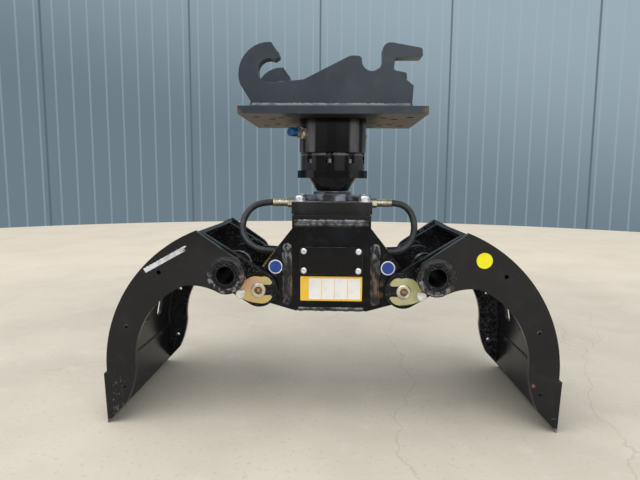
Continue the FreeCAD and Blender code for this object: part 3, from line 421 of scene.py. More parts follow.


# side plates: heat tint round the torque tube, scuffs by the cutting edge, spatter on the inward face, and
# on the right jaw a pale web between the drops, partly spatter and partly a painted reflection
sidePlateLook = {
    "tints": {
        "places": [(-0.250, -0.250, 0.430), (-0.262, -0.250, 0.394), (0.318, -0.250, 0.402)],
        "radius": 0.016, "ragged": 0.030, "share": 0.55, "tint": (0.16, 0.075, 0.022),
    },
    "scuffs": {
        "places": [(-0.604, -0.250, 0.112), (-0.608, -0.250, 0.052)],
        "radius": 0.050, "ragged": 0.020, "tint": (0.15, 0.153, 0.165),
    },
    "scuffMarks": (230.0, 5.0, 0.56, 0.66, (1.0, 1.0, 0.45)), "scuffShare": 0.5,
    "drops": (0.060, 0.061, 0.066), "dropShare": 0.7, "dropScale": 120.0, "dropPatches": (0.36, 0.50),
    "dropStrength": 0.6, "dropDepth": 0.0014,
    "web": (0.105, 0.108, 0.116), "webShare": 0.8, "webScale": 105.0, "webTurn": (0.34, 0.62),
    "webPatches": (38.0, 5.0, 0.38, 0.56), "webFrom": (0.0, 0.1),  # on the right jaw alone
    "chip": {"places": [(0.552, -0.250, 0.132)], "radius": 0.0065, "ragged": 0.006, "share": 0.75,
             "tint": (0.34, 0.115, 0.060)},
}


def sidePlatePaint(name, inward):
    # inward is the side in Y to which the face between the plates looks
    look = sidePlateLook
    shader = Shader(name)
    color = shader.spots(paintColor(shader, paintLooks["jaw"]), **look["tints"])
    marks = shader.times(shader.mask(*look["scuffMarks"]), look["scuffShare"])
    color = shader.spots(color, share=marks, **look["scuffs"])
    inside = shader.facing("Y", 0.5 * inward, 0.9 * inward)
    drops = shader.times(spatter(shader, look["dropScale"], *look["dropPatches"]), inside)
    color = shader.blend(shader.times(drops, look["dropShare"]), color, look["drops"])
    if inward < 0:
        # a pale web between the drops, partly spatter and partly a painted reflection
        web = shader.times(shader.between(shader.cells(look["webScale"]), *look["webTurn"]), inside,
                           shader.between(shader.along("X"), *look["webFrom"]),
                           shader.mask(*look["webPatches"]), look["webShare"])
        color = shader.blend(web, color, look["web"])
    else:
        color = shader.spots(color, **look["chip"])
    raised = shader.relief(drops, look["dropStrength"], look["dropDepth"],
                           paintNormal(shader, paintLooks["jaw"]))
    gloss = shader.vary(*coatLook["gloss"], *paintLooks["jaw"]["gloss"])
    return shader.finish(color, gloss, raised, {"Specular IOR Level": 0.34})


# both plates of the frame, the front one with rust by the slot welds and a painted highlight along the edge
# of its left ear
framePlateLook = {
    "rust": {
        "places": [(0.139, -0.170, 0.392), (0.138, -0.170, 0.362), (0.184, -0.170, 0.412)],
        "radius": 0.012, "ragged": 0.024, "share": 0.55, "tint": (0.20, 0.085, 0.030),
    },
    "earHighlightFrom": (-0.193, -0.170, 0.441), "earHighlightTo": (-0.163, -0.170, 0.484), "earHighlightSteps": 6,
    "earHighlight": {"radius": 0.0058, "ragged": 0.004, "share": 0.6, "tint": (0.30, 0.225, 0.085)},
    "scuff": (0.050, 0.051, 0.056), "scuffs": (64.0, 9.0, 0.52, 0.66), "scuffShare": 0.7,
    "scuffsFrom": (0.138, 0.158),  # out from the middle
    "smearAndSheen": (0.013, 0.018, 0.030), "smearAndSheenPatches": (9.0, 6.0, 0.50, 0.70, (1.0, 1.0, 0.30)), "smearAndSheenShare": 0.40,
    "smearAndSheenFrom": (0.49, 0.53),  # height
    "gloss": (8.0, 7.0, 0.12, 0.30),
}


def framePlatePaint():
    look = framePlateLook
    shader = Shader("framePlatePaint")
    color = shader.spots(paintColor(shader, paintLooks["frame"]), **look["rust"])
    # a row of yellowish spots along the left ear's edge: a painted highlight
    start, end = Vector(look["earHighlightFrom"]), Vector(look["earHighlightTo"])
    steps = look["earHighlightSteps"]
    places = [tuple(start.lerp(end, step / steps)) for step in range(steps + 1)]
    color = shader.spots(color, places, **look["earHighlight"])
    outer = shader.between(shader.aside("X"), *look["scuffsFrom"])
    scuffs = shader.times(shader.mask(*look["scuffs"]), outer, look["scuffShare"])
    color = shader.blend(scuffs, color, look["scuff"])
    # bluish smears high on the plate, partly smudges and partly a painted reflection
    high = shader.between(shader.along("Z"), *look["smearAndSheenFrom"])
    smearAndSheenPatches = shader.times(shader.mask(*look["smearAndSheenPatches"]), high, look["smearAndSheenShare"])
    color = shader.blend(smearAndSheenPatches, color, look["smearAndSheen"])
    return shader.finish(color, shader.vary(*look["gloss"]), paintNormal(shader, paintLooks["frame"]),
                         {"Specular IOR Level": 0.15})


# cutting edge, thin paint that is rubbed through at the tip
edgeLook = {
    "thin": (0.010, 0.010, 0.011), "steel": (0.30, 0.30, 0.30),
    "scratches": (34.0, 9.0, 0.60, 0.70, (1.0, 0.5, 5.0)), "scratchShare": 0.6,
    "rubHeights": (0.10, 0.0),
    "tipWear": (70.0, 6.0, 0.42, 0.58), "tipHeights": (0.016, 0.002),
    "gloss": (12.0, 6.0, 0.14, 0.28),
}


def cuttingEdgePaint():
    look = dict(paintLooks["jaw"], edge=edgeLook["thin"])
    shader = Shader("cuttingEdgePaint")
    color = paintColor(shader, look)
    height = shader.along("Z")
    rubbed = shader.times(shader.mask(*edgeLook["scratches"]),
                          shader.between(height, *edgeLook["rubHeights"]), edgeLook["scratchShare"])
    tip = shader.times(shader.between(height, *edgeLook["tipHeights"]), shader.mask(*edgeLook["tipWear"]))
    color = shader.blend(shader.calc("MAXIMUM", rubbed, tip), color, edgeLook["steel"])
    return shader.finish(color, shader.vary(*edgeLook["gloss"]), paintNormal(shader, look),
                         {"Specular IOR Level": 0.34})


# block under the rotator, its top faces pale in patches: partly scuffed by overspray and dust, partly a
# painted highlight
blockLook = {
    "side": (0.0082, 0.0083, 0.0092), "streak": (0.022, 0.0225, 0.026),
    "streaks": (16.0, 6.0, 0.46, 0.66, (1.0, 1.0, 0.25)),
    "top": (0.46, 0.47, 0.50), "topTurn": (0.35, 0.80), "topPatches": (26.0, 9.0, 0.36, 0.54),
    "pad": (0.30, 0.30, 0.36), "padHeights": (0.6215, 0.6235), "padChalk": (21.0, 7.0, 0.44, 0.58),
    "padShare": 0.8,
    "edge": (0.34, 0.36, 0.38), "edgeRadius": 0.0020, "edgeTurn": (0.02, 0.2), "edgeShare": 0.6,
    "casting": (90.0, 6.0), "castStrength": 0.28, "castDepth": 0.0016,
    "gloss": (20.0, 6.0, 0.16, 0.34),
}


def blockPaint():
    look = blockLook
    shader = Shader("blockPaint")
    color = shader.blend(shader.mask(*look["streaks"]), look["side"], look["streak"])
    # up-facing faces paler in patches, partly scuffs and dust, partly a painted highlight
    top = shader.times(shader.facing("Z", *look["topTurn"]), shader.mask(*look["topPatches"]))
    color = shader.blend(top, color, look["top"])
    raised = shader.between(shader.along("Z"), *look["padHeights"])
    chalky = shader.times(raised, shader.mask(*look["padChalk"]), look["padShare"])
    color = shader.blend(chalky, color, look["pad"])
    paleEdges = shader.times(shader.edges(look["edgeRadius"], *look["edgeTurn"]), look["edgeShare"])
    color = shader.blend(paleEdges, color, look["edge"])
    rough = shader.relief(shader.cloud(*look["casting"]), look["castStrength"], look["castDepth"],
                          shader.bevel)
    return shader.finish(color, shader.vary(*look["gloss"]), rough, {"Specular IOR Level": 0.36})


# bare and plated metals: two tones, lumps per metre, and the least and most roughness
metalLooks = {
    "brightZinc": ((0.70, 0.71, 0.72), (0.88, 0.89, 0.90), 55.0, (0.26, 0.42)),
    "paintedScrew": ((0.10, 0.10, 0.10), (0.20, 0.20, 0.20), 90.0, (0.22, 0.36)),
    "machinedSteel": ((0.38, 0.38, 0.38), (0.52, 0.52, 0.52), 40.0, (0.22, 0.36)),
    "bronze": ((0.42, 0.27, 0.12), (0.56, 0.38, 0.18), 40.0, (0.28, 0.42)),
    "hardChrome": ((0.66, 0.67, 0.69), (0.72, 0.73, 0.75), 12.0, (0.07, 0.13)),
    "pinZinc": ((0.56, 0.53, 0.42), (0.72, 0.69, 0.58), 70.0, (0.34, 0.50)),
    "ferruleZinc": ((0.62, 0.55, 0.38), (0.80, 0.74, 0.58), 80.0, (0.26, 0.40)),
    "fittingZinc": ((0.66, 0.61, 0.48), (0.82, 0.78, 0.68), 80.0, (0.26, 0.40)),
}
metalWear = {
    "grime": (0.10, 0.09, 0.08), "grimy": (28.0, 8.0, 0.56, 0.72), "grimeShare": 0.45,
    "edgeRadius": 0.0010, "brushed": (300.0, 3.0, (1.0, 1.0, 0.2)),
    "crimps": 70.0, "crimpStrength": 0.55, "crimpDepth": 0.0012,
    "crimpGrooveTone": (0.22, 0.18, 0.10), "crimpGrooveShare": 0.35,
}


def metal(name, crimped=False):
    first, second, scale, gloss = metalLooks[name]
    shader = Shader(name)
    color = shader.blend(shader.mask(scale, 6.0, 0.36, 0.64), first, second)
    grime = shader.times(shader.mask(*metalWear["grimy"]), metalWear["grimeShare"])
    color = shader.blend(grime, color, metalWear["grime"])
    brushed = shader.cloud(*metalWear["brushed"])
    normal = shader.relief(brushed, 0.10, 0.0004, shader.rounded(metalWear["edgeRadius"]))
    if crimped:
        wave = shader.add("TexWave", {"wave_type": "BANDS", "bands_direction": "X"},
                          {"Vector": shader.coords, "Scale": metalWear["crimps"], "Distortion": 0.4})
        crimps = wave.outputs[1]
        normal = shader.relief(crimps, metalWear["crimpStrength"], metalWear["crimpDepth"], normal)
        # the crimp grooves are darker brown
        grooves = shader.times(shader.between(crimps, 0.35, 0.0), metalWear["crimpGrooveShare"])
        color = shader.blend(grooves, color, metalWear["crimpGrooveTone"])
    return shader.finish(color, shader.vary(35.0, 6.0, *gloss), normal, {"Metallic": 0.92})


# lock plates, yellow passivated: the left ones shine gold and pink, the right ones olive
lockLook = {
    "left": ((0.66, 0.52, 0.20), (0.68, 0.44, 0.30), (0.52, 0.52, 0.24)),
    "right": ((0.46, 0.47, 0.24), (0.56, 0.53, 0.30), (0.36, 0.38, 0.21)),
}


def lockZinc(side):
    gold, pink, olive = lockLook[side]
    shader = Shader(side + "LockZinc")
    color = shader.blend(shader.mask(24.0, 3.0, 0.44, 0.60), gold, pink)
    color = shader.blend(shader.mask(15.0, 5.0, 0.54, 0.66), color, olive)
    fine = shader.relief(shader.cloud(260.0, 4.0), 0.12, 0.0005, shader.rounded(0.0012))
    return shader.finish(color, shader.vary(30.0, 5.0, 0.34, 0.50), fine, {"Metallic": 0.75})


# welds, painted over: their up-facing crowns are painted lighter in patches, a painted highlight from above
weldLooks = {
    "weldBlack": {"base": (0.006, 0.0062, 0.007), "crown": (0.050, 0.052, 0.056), "cover": 0.45},
    "weldGrey": {"base": (0.006, 0.0063, 0.0075), "crown": (0.34, 0.35, 0.37), "cover": 0.85},
    "weldHitch": {"base": (0.070, 0.080, 0.092), "crown": (0.200, 0.213, 0.230), "cover": 0.85},
}
seamLook = {
    "patches": (46.0, 5.0, 0.38, 0.58), "fine": (240.0, 4.0, 0.55, 1.0),
    "crownTurn": (-0.25, 0.75), "flanks": 0.22,
    "skin": {"lumps": (330.0, 4.0), "strength": 0.30, "depth": 0.0009, "gloss": (120.0, 4.0, 0.20, 0.42)},
}


def weldSkin(shader, color, lumps, strength, depth, gloss):
    raised = shader.relief(shader.cloud(*lumps), strength, depth)
    return shader.finish(color, shader.vary(*gloss), raised, {"Specular IOR Level": 0.4})


def weldPaint(name):
    look = weldLooks[name]
    shader = Shader(name)
    # up-facing faces lighter: a painted highlight
    crown = shader.calc("ADD", shader.facing("Z", *seamLook["crownTurn"]), seamLook["flanks"])
    share = shader.times(shader.mask(*seamLook["patches"]), shader.vary(*seamLook["fine"]), crown,
                         look["cover"])
    color = shader.blend(share, look["base"], look["crown"])
    return weldSkin(shader, color, **seamLook["skin"])


# welds round the torque tubes, scuffed and tinted most on their lower half
tubeWeldLook = {
    "base": (0.0075, 0.0078, 0.0088), "lowHeights": (0.452, 0.400), "lowShare": (0.10, 1.0),
    "scuff": (0.34, 0.342, 0.35), "scuffs": (74.0, 7.0, 0.47, 0.60), "scuffShare": 0.70,
    "tint": (0.30, 0.15, 0.06), "tints": (44.0, 4.0, 0.56, 0.66), "tintShare": 0.28,
    "skin": {"lumps": (300.0, 5.0), "strength": 0.45, "depth": 0.0011, "gloss": (90.0, 4.0, 0.20, 0.42)},
}


def tubeWeldPaint():
    look = tubeWeldLook
    shader = Shader("tubeWeldPaint")
    low = shader.spread(shader.between(shader.along("Z"), *look["lowHeights"]), *look["lowShare"])
    scuffs = shader.times(shader.mask(*look["scuffs"]), low, look["scuffShare"])
    color = shader.blend(scuffs, look["base"], look["scuff"])
    tints = shader.times(shader.mask(*look["tints"]), low, look["tintShare"])
    color = shader.blend(tints, color, look["tint"])
    return weldSkin(shader, color, **look["skin"])


# slot welds, with pale patches at the top and rusty streaks that run down below them
slotWeldLook = {
    "base": (0.0065, 0.0068, 0.0078), "topHeights": (0.42, 0.50), "topShare": (0.30, 1.0),
    "pale": (0.27, 0.275, 0.29), "patches": (88.0, 8.0, 0.46, 0.58, (1.0, 1.0, 0.55)), "paleShare": 0.62,
    "rust": (0.28, 0.135, 0.052), "streaks": (58.0, 4.0, 0.48, 0.60, (1.0, 1.0, 0.14)), "rustShare": 0.6,
    "rustHeights": (0.345, 0.375, 0.430, 0.462),
    "skin": {"lumps": (200.0, 5.0), "strength": 0.55, "depth": 0.0014, "gloss": (80.0, 4.0, 0.16, 0.38)},
}


def slotWeldPaint():
    look = slotWeldLook
    shader = Shader("slotWeldPaint")
    height = shader.along("Z")
    top = shader.spread(shader.between(height, *look["topHeights"]), *look["topShare"])
    pale = shader.times(shader.mask(*look["patches"]), top, look["paleShare"])
    color = shader.blend(pale, look["base"], look["pale"])
    rusty = shader.band(height, *look["rustHeights"])
    streaks = shader.times(shader.mask(*look["streaks"]), rusty, look["rustShare"])
    color = shader.blend(streaks, color, look["rust"])
    return weldSkin(shader, color, **look["skin"])


# rubber, plastics, grease and stickers
rubberLook = {
    "colors": ((0.020, 0.020, 0.021), (0.040, 0.039, 0.039)), "patches": (30.0, 5.0, 0.40, 0.66),
    "wrap": {"Scale": 90.0, "Distortion": 1.5, "Detail": 2.0}, "wrapStrength": 0.10, "wrapDepth": 0.0005,
    "grain": (700.0, 3.0), "grainStrength": 0.2, "grainDepth": 0.0004, "gloss": (40.0, 5.0, 0.44, 0.62),
}


def hoseRubber():
    # the cover shows the bands of the cloth that it was cured in
    look = rubberLook
    shader = Shader("hoseRubber")
    color = shader.blend(shader.mask(*look["patches"]), *look["colors"])
    wrap = shader.add("TexWave", {"wave_type": "BANDS", "bands_direction": "DIAGONAL"},
                      {"Vector": shader.coords, **look["wrap"]}).outputs[1]
    cloth = shader.relief(wrap, look["wrapStrength"], look["wrapDepth"])
    grain = shader.relief(shader.cloud(*look["grain"]), look["grainStrength"], look["grainDepth"], cloth)
    return shader.finish(color, shader.vary(*look["gloss"]), grain)


plasticLooks = {
    "sealRubber": {
        "colors": ((0.018, 0.018, 0.018), (0.030, 0.030, 0.030)), "gloss": (0.55, 0.7), "coat": 0.0,
    },
    "bluePlastic": {
        "colors": ((0.003, 0.055, 0.17), (0.006, 0.088, 0.25)), "gloss": (0.28, 0.40), "coat": 0.1,
    },
    "whitePlastic": {
        "colors": ((0.62, 0.61, 0.57), (0.76, 0.75, 0.72)), "gloss": (0.32, 0.46), "coat": 0.0,
    },
}


def plastic(name):
    look = plasticLooks[name]
    shader = Shader(name)
    color = shader.blend(shader.mask(60.0, 6.0, 0.38, 0.64), *look["colors"])
    grain = shader.relief(shader.cloud(500.0, 3.0), 0.12, 0.0003, shader.rounded(0.0012))
    return shader.finish(color, shader.vary(50.0, 5.0, *look["gloss"]), grain, {"Coat Weight": look["coat"]})


greaseColors = ((0.080, 0.035, 0.010), (0.36, 0.19, 0.055))


def greaseMaterial():
    shader = Shader("pinGrease")
    color = shader.blend(shader.mask(180.0, 6.0, 0.38, 0.62), *greaseColors)
    lumps = shader.relief(shader.cloud(260.0, 5.0), 0.6, 0.001)
    return shader.finish(color, shader.vary(90.0, 4.0, 0.20, 0.42), lumps)


# a sticker's ink, and the same ink where it is rubbed
stickerLooks = {
    "discBlue": ((0.006, 0.046, 0.30), (0.018, 0.075, 0.36)),
    "ringWhite": ((0.82, 0.83, 0.84), (0.66, 0.67, 0.68)),
    "dotYellow": ((1.0, 0.92, 0.006), (0.94, 0.84, 0.02)),
    "stripWhite": ((0.78, 0.79, 0.80), (0.50, 0.51, 0.52)),
    "panelAmber": ((1.0, 0.59, 0.030), (0.98, 0.62, 0.08)),
    "panelWhite": ((0.96, 0.945, 0.90), (0.88, 0.855, 0.79)),
}
stickerDirt = {"color": (0.12, 0.11, 0.10), "patches": (110.0, 7.0, 0.62, 0.74), "share": 0.22}


def sticker(name):
    shader = Shader(name)
    color = shader.blend(shader.mask(30.0, 8.0, 0.46, 0.70), *stickerLooks[name])
    dirt = shader.times(shader.mask(*stickerDirt["patches"]), stickerDirt["share"])
    color = shader.blend(dirt, color, stickerDirt["color"])
    film = shader.relief(shader.cloud(45.0, 4.0), 0.10, 0.0008)
    return shader.finish(color, shader.vary(26.0, 5.0, 0.26, 0.42), film)


materials = {
    "jaw": paint("jawPaint", "jaw"),
    "jawInner": spatteredPaint("jawInnerPaint", "inner"),
    "frontSidePlate": sidePlatePaint("frontSidePlatePaint", 1),
    "rearSidePlate": sidePlatePaint("rearSidePlatePaint", -1),
    "edge": cuttingEdgePaint(),
    "frame": paint("framePaint", "frame"),
    "framePlate": framePlatePaint(),
    "frameInner": spatteredPaint("frameInnerPaint", "frame"),
    "rotator": rotatorPaint("rotatorPaint", 0.0, 1.0),
    "camRing": rotatorPaint("camRingPaint", 0.35, 0.3, rimHighlights=True),
    "rotatorFoot": rotatorPaint("rotatorFootPaint", 0.75, 0.2),
    "hitch": paint("hitchPaint", "hitch"),
    "plate": platePaint(),
    "cover": paint("coverPaint", "cover", specular=0.20),
    "block": blockPaint(),
    "leftLock": lockZinc("left"),
    "rightLock": lockZinc("right"),
    "slotWeld": slotWeldPaint(),
    "tubeWeld": tubeWeldPaint(),
    "hose": hoseRubber(),
    "grease": greaseMaterial(),
}
for name in metalLooks:
    materials[name] = metal(name, crimped=name == "ferruleZinc")
for name in weldLooks:
    materials[name] = weldPaint(name)
for name in plasticLooks:
    materials[name] = plastic(name)
for name in stickerLooks:
    materials[name] = sticker(name)
print("materials mixed:", len(materials))


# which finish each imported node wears
nodeFinish = {
    "adapter_plate": "plate", "hitch_ear_front": "hitch", "hitch_ear_rear": "hitch",
    "rotator_lower_housing": "rotatorFoot", "rotator_cam_ring": "camRing",
    "rotator_upper_housing": "rotator", "rotator_shaft_seal": "sealRubber",
    "rotator_ring_screws": "paintedScrew",
    "rotator_mount_bolts": "brightZinc", "port_adapters": "fittingZinc", "port_caps": "bluePlastic",
    "port_plug": "whitePlastic", "rotor_block": "block", "rotor_block_bolts": "brightZinc",
    "rotor_shaft": "machinedSteel", "rotor_vanes": "machinedSteel", "frame_front_plate": "framePlate",
    "frame_rear_plate": "framePlate", "frame_web_left": "frameInner", "frame_web_right": "frameInner",
    "frame_bottom_plate": "frame", "frame_top_flange": "frame", "hinge_bosses": "frameInner",
    "hinge_bushes": "bronze", "cover_plate": "cover", "cover_bolts": "brightZinc",
    "cylinder_barrel": "frame", "cylinder_gland": "machinedSteel", "cylinder_piston": "machinedSteel",
    "piston_rod": "hardChrome", "hose_unions": "fittingZinc", "hose_ferrules": "ferruleZinc",
}
jawFinish = {
    "side_plate_front": "frontSidePlate", "side_plate_rear": "rearSidePlate", "arm_front": "jawInner",
    "arm_rear": "jawInner", "torque_tube": "jawInner", "shell": "jaw", "levers": "jawInner",
    "cutting_edge": "edge", "hinge_pins": "pinZinc", "cylinder_pin": "pinZinc", "lock_bolts": "brightZinc",
}
for side in ("left", "right"):
    for part, finish in jawFinish.items():
        nodeFinish["jaw_" + side + "_" + part] = finish
    nodeFinish["jaw_" + side + "_lock_plates"] = side + "Lock"


def dressNode(name, finish):
    piece = nodes[name]
    if not piece.material_slots:
        piece.data.materials.append(None)
    for materialSlot in piece.material_slots:
        materialSlot.material = materials[finish]


for name, finish in nodeFinish.items():
    dressNode(name, finish)
for hose in (leftHose, rightHose):
    hose.data.materials.append(materials["hose"])
print("nodes dressed:", len(nodeFinish))


def addPiece(name, mesh, body, material, smooth=True):
    data = bpy.data.meshes.new(name)
    bmesh.ops.recalc_face_normals(mesh, faces=mesh.faces)
    mesh.to_mesh(data)
    mesh.free()
    for face in data.polygons:
        face.use_smooth = smooth
    data.materials.append(materials[material])
    piece = newObject(name, data)
    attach(piece, body)
    return piece


# weld beads, laid along their seams; a bead's size is its half width and its height
beadLook = {
    "step": 0.0024, "sides": 8, "ripple": 0.0046, "rippleDepth": 0.06,
    "lumps": 0.24, "lumpScale": 130, "wander": 0.20, "wanderScale": 60, "wanderShift": (7, 3, 1),
    "grain": 0.10, "grainScale": 380, "ends": 0.25,
}


def alongPath(points, closed, step):
    # evenly spaced places along a run of points
    stops = [Vector(point) for point in points]
    if closed:
        stops.append(stops[0])
    places = []
    for first, second in zip(stops, stops[1:]):
        count = max(1, round((second - first).length / step))
        places.extend(first.lerp(second, index / count) for index in range(count))
    if not closed:
        places.append(stops[-1])
    return places


def layBead(mesh, points, out, size, closed=False):
    # out is the direction in which the bead stands, or a function of the place
    look = beadLook
    halfWidth, height = size
    wanderShift = Vector(look["wanderShift"])
    places = alongPath(points, closed, look["step"])
    rings = []
    travelled = 0.0
    for index, place in enumerate(places):
        before = places[index - 1] if index or closed else place
        after = places[(index + 1) % len(places)] if index + 1 < len(places) or closed else place
        along = (after - before).normalized()
        up = (out(place) if callable(out) else Vector(out)).normalized()
        across = along.cross(up).normalized()
        travelled += (place - before).length
        swell = 1 + look["rippleDepth"] * math.sin(travelled / look["ripple"] * 2 * math.pi)
        swell += look["lumps"] * noise.noise(place * look["lumpScale"])
        sway = noise.noise(place * look["wanderScale"] + wanderShift)
        drift = across * (halfWidth * look["wander"] * sway)
        if not closed and index in (0, len(places) - 1):
            swell *= look["ends"]
        ring = []
        for corner in range(look["sides"]):
            angle = 2 * math.pi * corner / look["sides"]
            spot = across * (math.cos(angle) * halfWidth) + up * (math.sin(angle) * height)
            rough = 1 + look["grain"] * noise.noise((place + spot) * look["grainScale"])
            ring.append(mesh.verts.new(place + drift + spot * swell * rough))
        rings.append(ring)
    pairs = list(zip(rings, rings[1:]))
    if closed:
        pairs.append((rings[-1], rings[0]))
    for first, second in pairs:
        for corner in range(look["sides"]):
            other = (corner + 1) % look["sides"]
            mesh.faces.new((first[corner], first[other], second[other], second[corner]))
    if not closed:
        mesh.faces.new(list(reversed(rings[0])))
        mesh.faces.new(rings[-1])


def circle(x, z, radius, count=48):
    angles = [2 * math.pi * step / count for step in range(count)]
    return [(x + radius * math.cos(angle), z + radius * math.sin(angle)) for angle in angles]


def ringPoints(x, y, z, radius):
    return [(across, y, up) for across, up in circle(x, z, radius, 72)]


def arcPoints(centreX, centreZ, radius, y, first, last, count=40):
    angles = [first + (last - first) * step / count for step in range(count + 1)]
    return [(centreX + radius * math.cos(angle), y, centreZ + radius * math.sin(angle)) for angle in angles]


def bothFaces(face, outward):
    # a face in front and its twin behind, with the side in Y to which each one looks
    return [(side * face, side if outward else -side) for side in (-1, 1)]


# jaw welds: round the torque tube, along the shell, and along the cutting edge
jawWelds = {
    "tube": (0.284, 0.426), "tubeRadius": 0.036,
    "outerFace": 0.250, "innerFace": 0.234, "armFaces": (0.172, 0.192), "leverFaces": (0.052, 0.068),
    "outerBeads": [(0.0045, (0.0068, 0.0046)), (0.0105, (0.0048, 0.0022))],  # past the tube, size
    "innerBead": (0.003, (0.0052, 0.0045)),
    "backCentre": (0.2111, 0.16612), "shellInner": 0.3955, "sunk": 0.001,
    "plateArc": (-0.05, 1.17), "plateBead": (0.0046, 0.0040),
    "armArc": (0.33, 1.17), "armBead": (0.0042, 0.0040),
    "edgeTop": 0.144, "edgeInner": 0.609, "edgeOuter": 0.6165, "edgeEnds": 0.003,
    "footBead": (0.0050, 0.0042), "footSunk": 0.002, "stepBead": (0.0048, 0.0040),
}


def weldTube(side, sign):
    look = jawWelds
    x, z = sign * look["tube"][0], look["tube"][1]
    mesh = bmesh.new()
    for y, away in bothFaces(look["outerFace"], True):
        for past, size in look["outerBeads"]:
            layBead(mesh, ringPoints(x, y, z, look["tubeRadius"] + past), (0, away, 0), size, True)
    addPiece(side + "TubeOuterWelds", mesh, "jaw_" + side, "tubeWeld")

    mesh = bmesh.new()
    past, size = look["innerBead"]
    for face in (look["innerFace"], *look["armFaces"], *look["leverFaces"]):
        outward = face in (look["armFaces"][1], look["leverFaces"][1])
        for y, away in bothFaces(face, outward):
            layBead(mesh, ringPoints(x, y, z, look["tubeRadius"] + past), (0, away, 0), size, True)
    addPiece(side + "TubeInnerWelds", mesh, "jaw_" + side, "weldGrey")


def weldShell(side, sign):
    look = jawWelds
    middleX, middleZ = sign * look["backCentre"][0], look["backCentre"][1]
    radius = look["shellInner"] - look["sunk"]

    def arc(y, angles):
        first, last = (math.pi - angle if sign < 0 else angle for angle in angles)
        return arcPoints(middleX, middleZ, radius, y, first, last)

    def inward(place):
        toMiddle = Vector((middleX - place.x, 0, middleZ - place.z)).normalized()
        return toMiddle - Vector((0, math.copysign(1, place.y), 0)) * 0.9

    mesh = bmesh.new()
    for y in (-look["innerFace"] + look["sunk"], look["innerFace"] - look["sunk"]):
        layBead(mesh, arc(y, look["plateArc"]), inward, look["plateBead"])
    for face in look["armFaces"]:
        for y, away in bothFaces(face, face == look["armFaces"][1]):
            lean = Vector((0, away, 0))
            layBead(mesh, arc(y, look["armArc"]), lambda place, lean=lean: inward(place) * 0.6 + lean,
                    look["armBead"])
    x, z = sign * (look["edgeInner"] - look["footSunk"]), look["edgeTop"] + 0.001
    foot = [(x, -look["innerFace"], z), (x, look["innerFace"], z)]
    layBead(mesh, foot, (-sign, 0, 0.5), look["footBead"])
    addPiece(side + "ShellWelds", mesh, "jaw_" + side, "weldBlack")


def weldEdge(side, sign):
    look = jawWelds
    reach = look["outerFace"] - look["edgeEnds"]
    x, z = sign * look["edgeOuter"], look["edgeTop"] + 0.0005
    mesh = bmesh.new()
    layBead(mesh, [(x, -reach, z), (x, reach, z)], (sign * 0.6, 0, 1), look["stepBead"])
    addPiece(side + "EdgeWeld", mesh, "jaw_" + side, "weldGrey")


for side, sign in (("left", -1), ("right", 1)):
    weldTube(side, sign)
    weldShell(side, sign)
    weldEdge(side, sign)
print("jaws welded")


# frame welds, front and rear
frameWelds = {
    "face": 0.170,
    "slotX": 0.125, "slotHalf": 0.0098, "slotLow": 0.3405, "slotHigh": 0.4905,
    "rimBead": (0.0048, 0.0026), "fillBead": (0.0056, 0.0032),
    "fills": [(-0.0042, -0.004, 0.004), (0.0042, -0.006, 0.003), (0, -0.002, 0.006)],  # aside, low, high
    "flangeHalf": 0.106, "flangeHeights": (0.5580, 0.5630, 0.5670), "flangeBead": (0.0058, 0.0046),
    "footHalf": 0.094, "footHeight": 0.3160, "footFace": 0.1660, "footBead": (0.0070, 0.0052),
    "webHalf": 0.010, "webInnerY": 0.150, "webLow": 0.326, "webInnerTop": 0.534, "webOuterTop": 0.510,
    "webBead": (0.0050, 0.0042),
    "boss": (0.202, 0.376), "bossRadius": 0.034, "bossBead": (0.0046, 0.0042),
}


def slotLoop(x, y):
    look = frameWelds
    half = look["slotHalf"]
    angles = [math.pi * step / 12 for step in range(13)]
    turns = [(half * math.cos(angle), half * math.sin(angle)) for angle in angles]
    top = [(x + along, y, look["slotHigh"] + above) for along, above in turns]
    low = [(x - along, y, look["slotLow"] - above) for along, above in turns]
    return top + low


def weldPlate(name, away):
    # the webs' slots are rimmed and then filled, the flange has three passes
    look = frameWelds
    y = away * look["face"]
    mesh = bmesh.new()
    for x in (-look["slotX"], look["slotX"]):
        layBead(mesh, slotLoop(x, y), (0, away, 0), look["rimBead"], True)
        for aside, low, high in look["fills"]:
            run = [(x + aside, y, look["slotLow"] + low), (x + aside, y, look["slotHigh"] + high)]
            layBead(mesh, run, (0, away, 0), look["fillBead"])
    addPiece(name + "SlotWelds", mesh, "frame", "slotWeld")

    mesh = bmesh.new()
    half = look["flangeHalf"]
    for z in look["flangeHeights"]:
        layBead(mesh, [(-half, y, z), (half, y, z)], (0, away, -0.2), look["flangeBead"])
    run = [(side * look["footHalf"], away * look["footFace"], look["footHeight"]) for side in (-1, 1)]
    layBead(mesh, run, (0, away, -0.3), look["footBead"])
    addPiece(name + "FrameWelds", mesh, "frame", "weldGrey")


def weldFrameInside():
    look = frameWelds
    mesh = bmesh.new()
    for x in (-look["slotX"], look["slotX"]):
        for aside in (-1, 1):
            top = look["webOuterTop"] if aside * x > 0 else look["webInnerTop"]
            for away in (-1, 1):
                place = (x + aside * look["webHalf"], away * look["webInnerY"])
                layBead(mesh, [(*place, look["webLow"]), (*place, top)], (aside, -away, 0), look["webBead"])
    for x in (-look["boss"][0], look["boss"][0]):
        for y, away in bothFaces(look["webInnerY"], False):
            layBead(mesh, ringPoints(x, y, look["boss"][1], look["bossRadius"] + 0.002), (0, away, 0),
                    look["bossBead"], True)
    addPiece("frameInnerWelds", mesh, "frame", "weldBlack")


weldPlate("front", -1)
weldPlate("rear", 1)
weldFrameInside()


# ear welds on the adapter plate, along both faces of each ear and round its ends
earWelds = {
    "faces": (0.135, 0.175), "from": -0.222, "to": 0.212, "top": 0.882,
    "alongBead": (0.0076, 0.0056), "endBead": (0.0056, 0.0048),
}


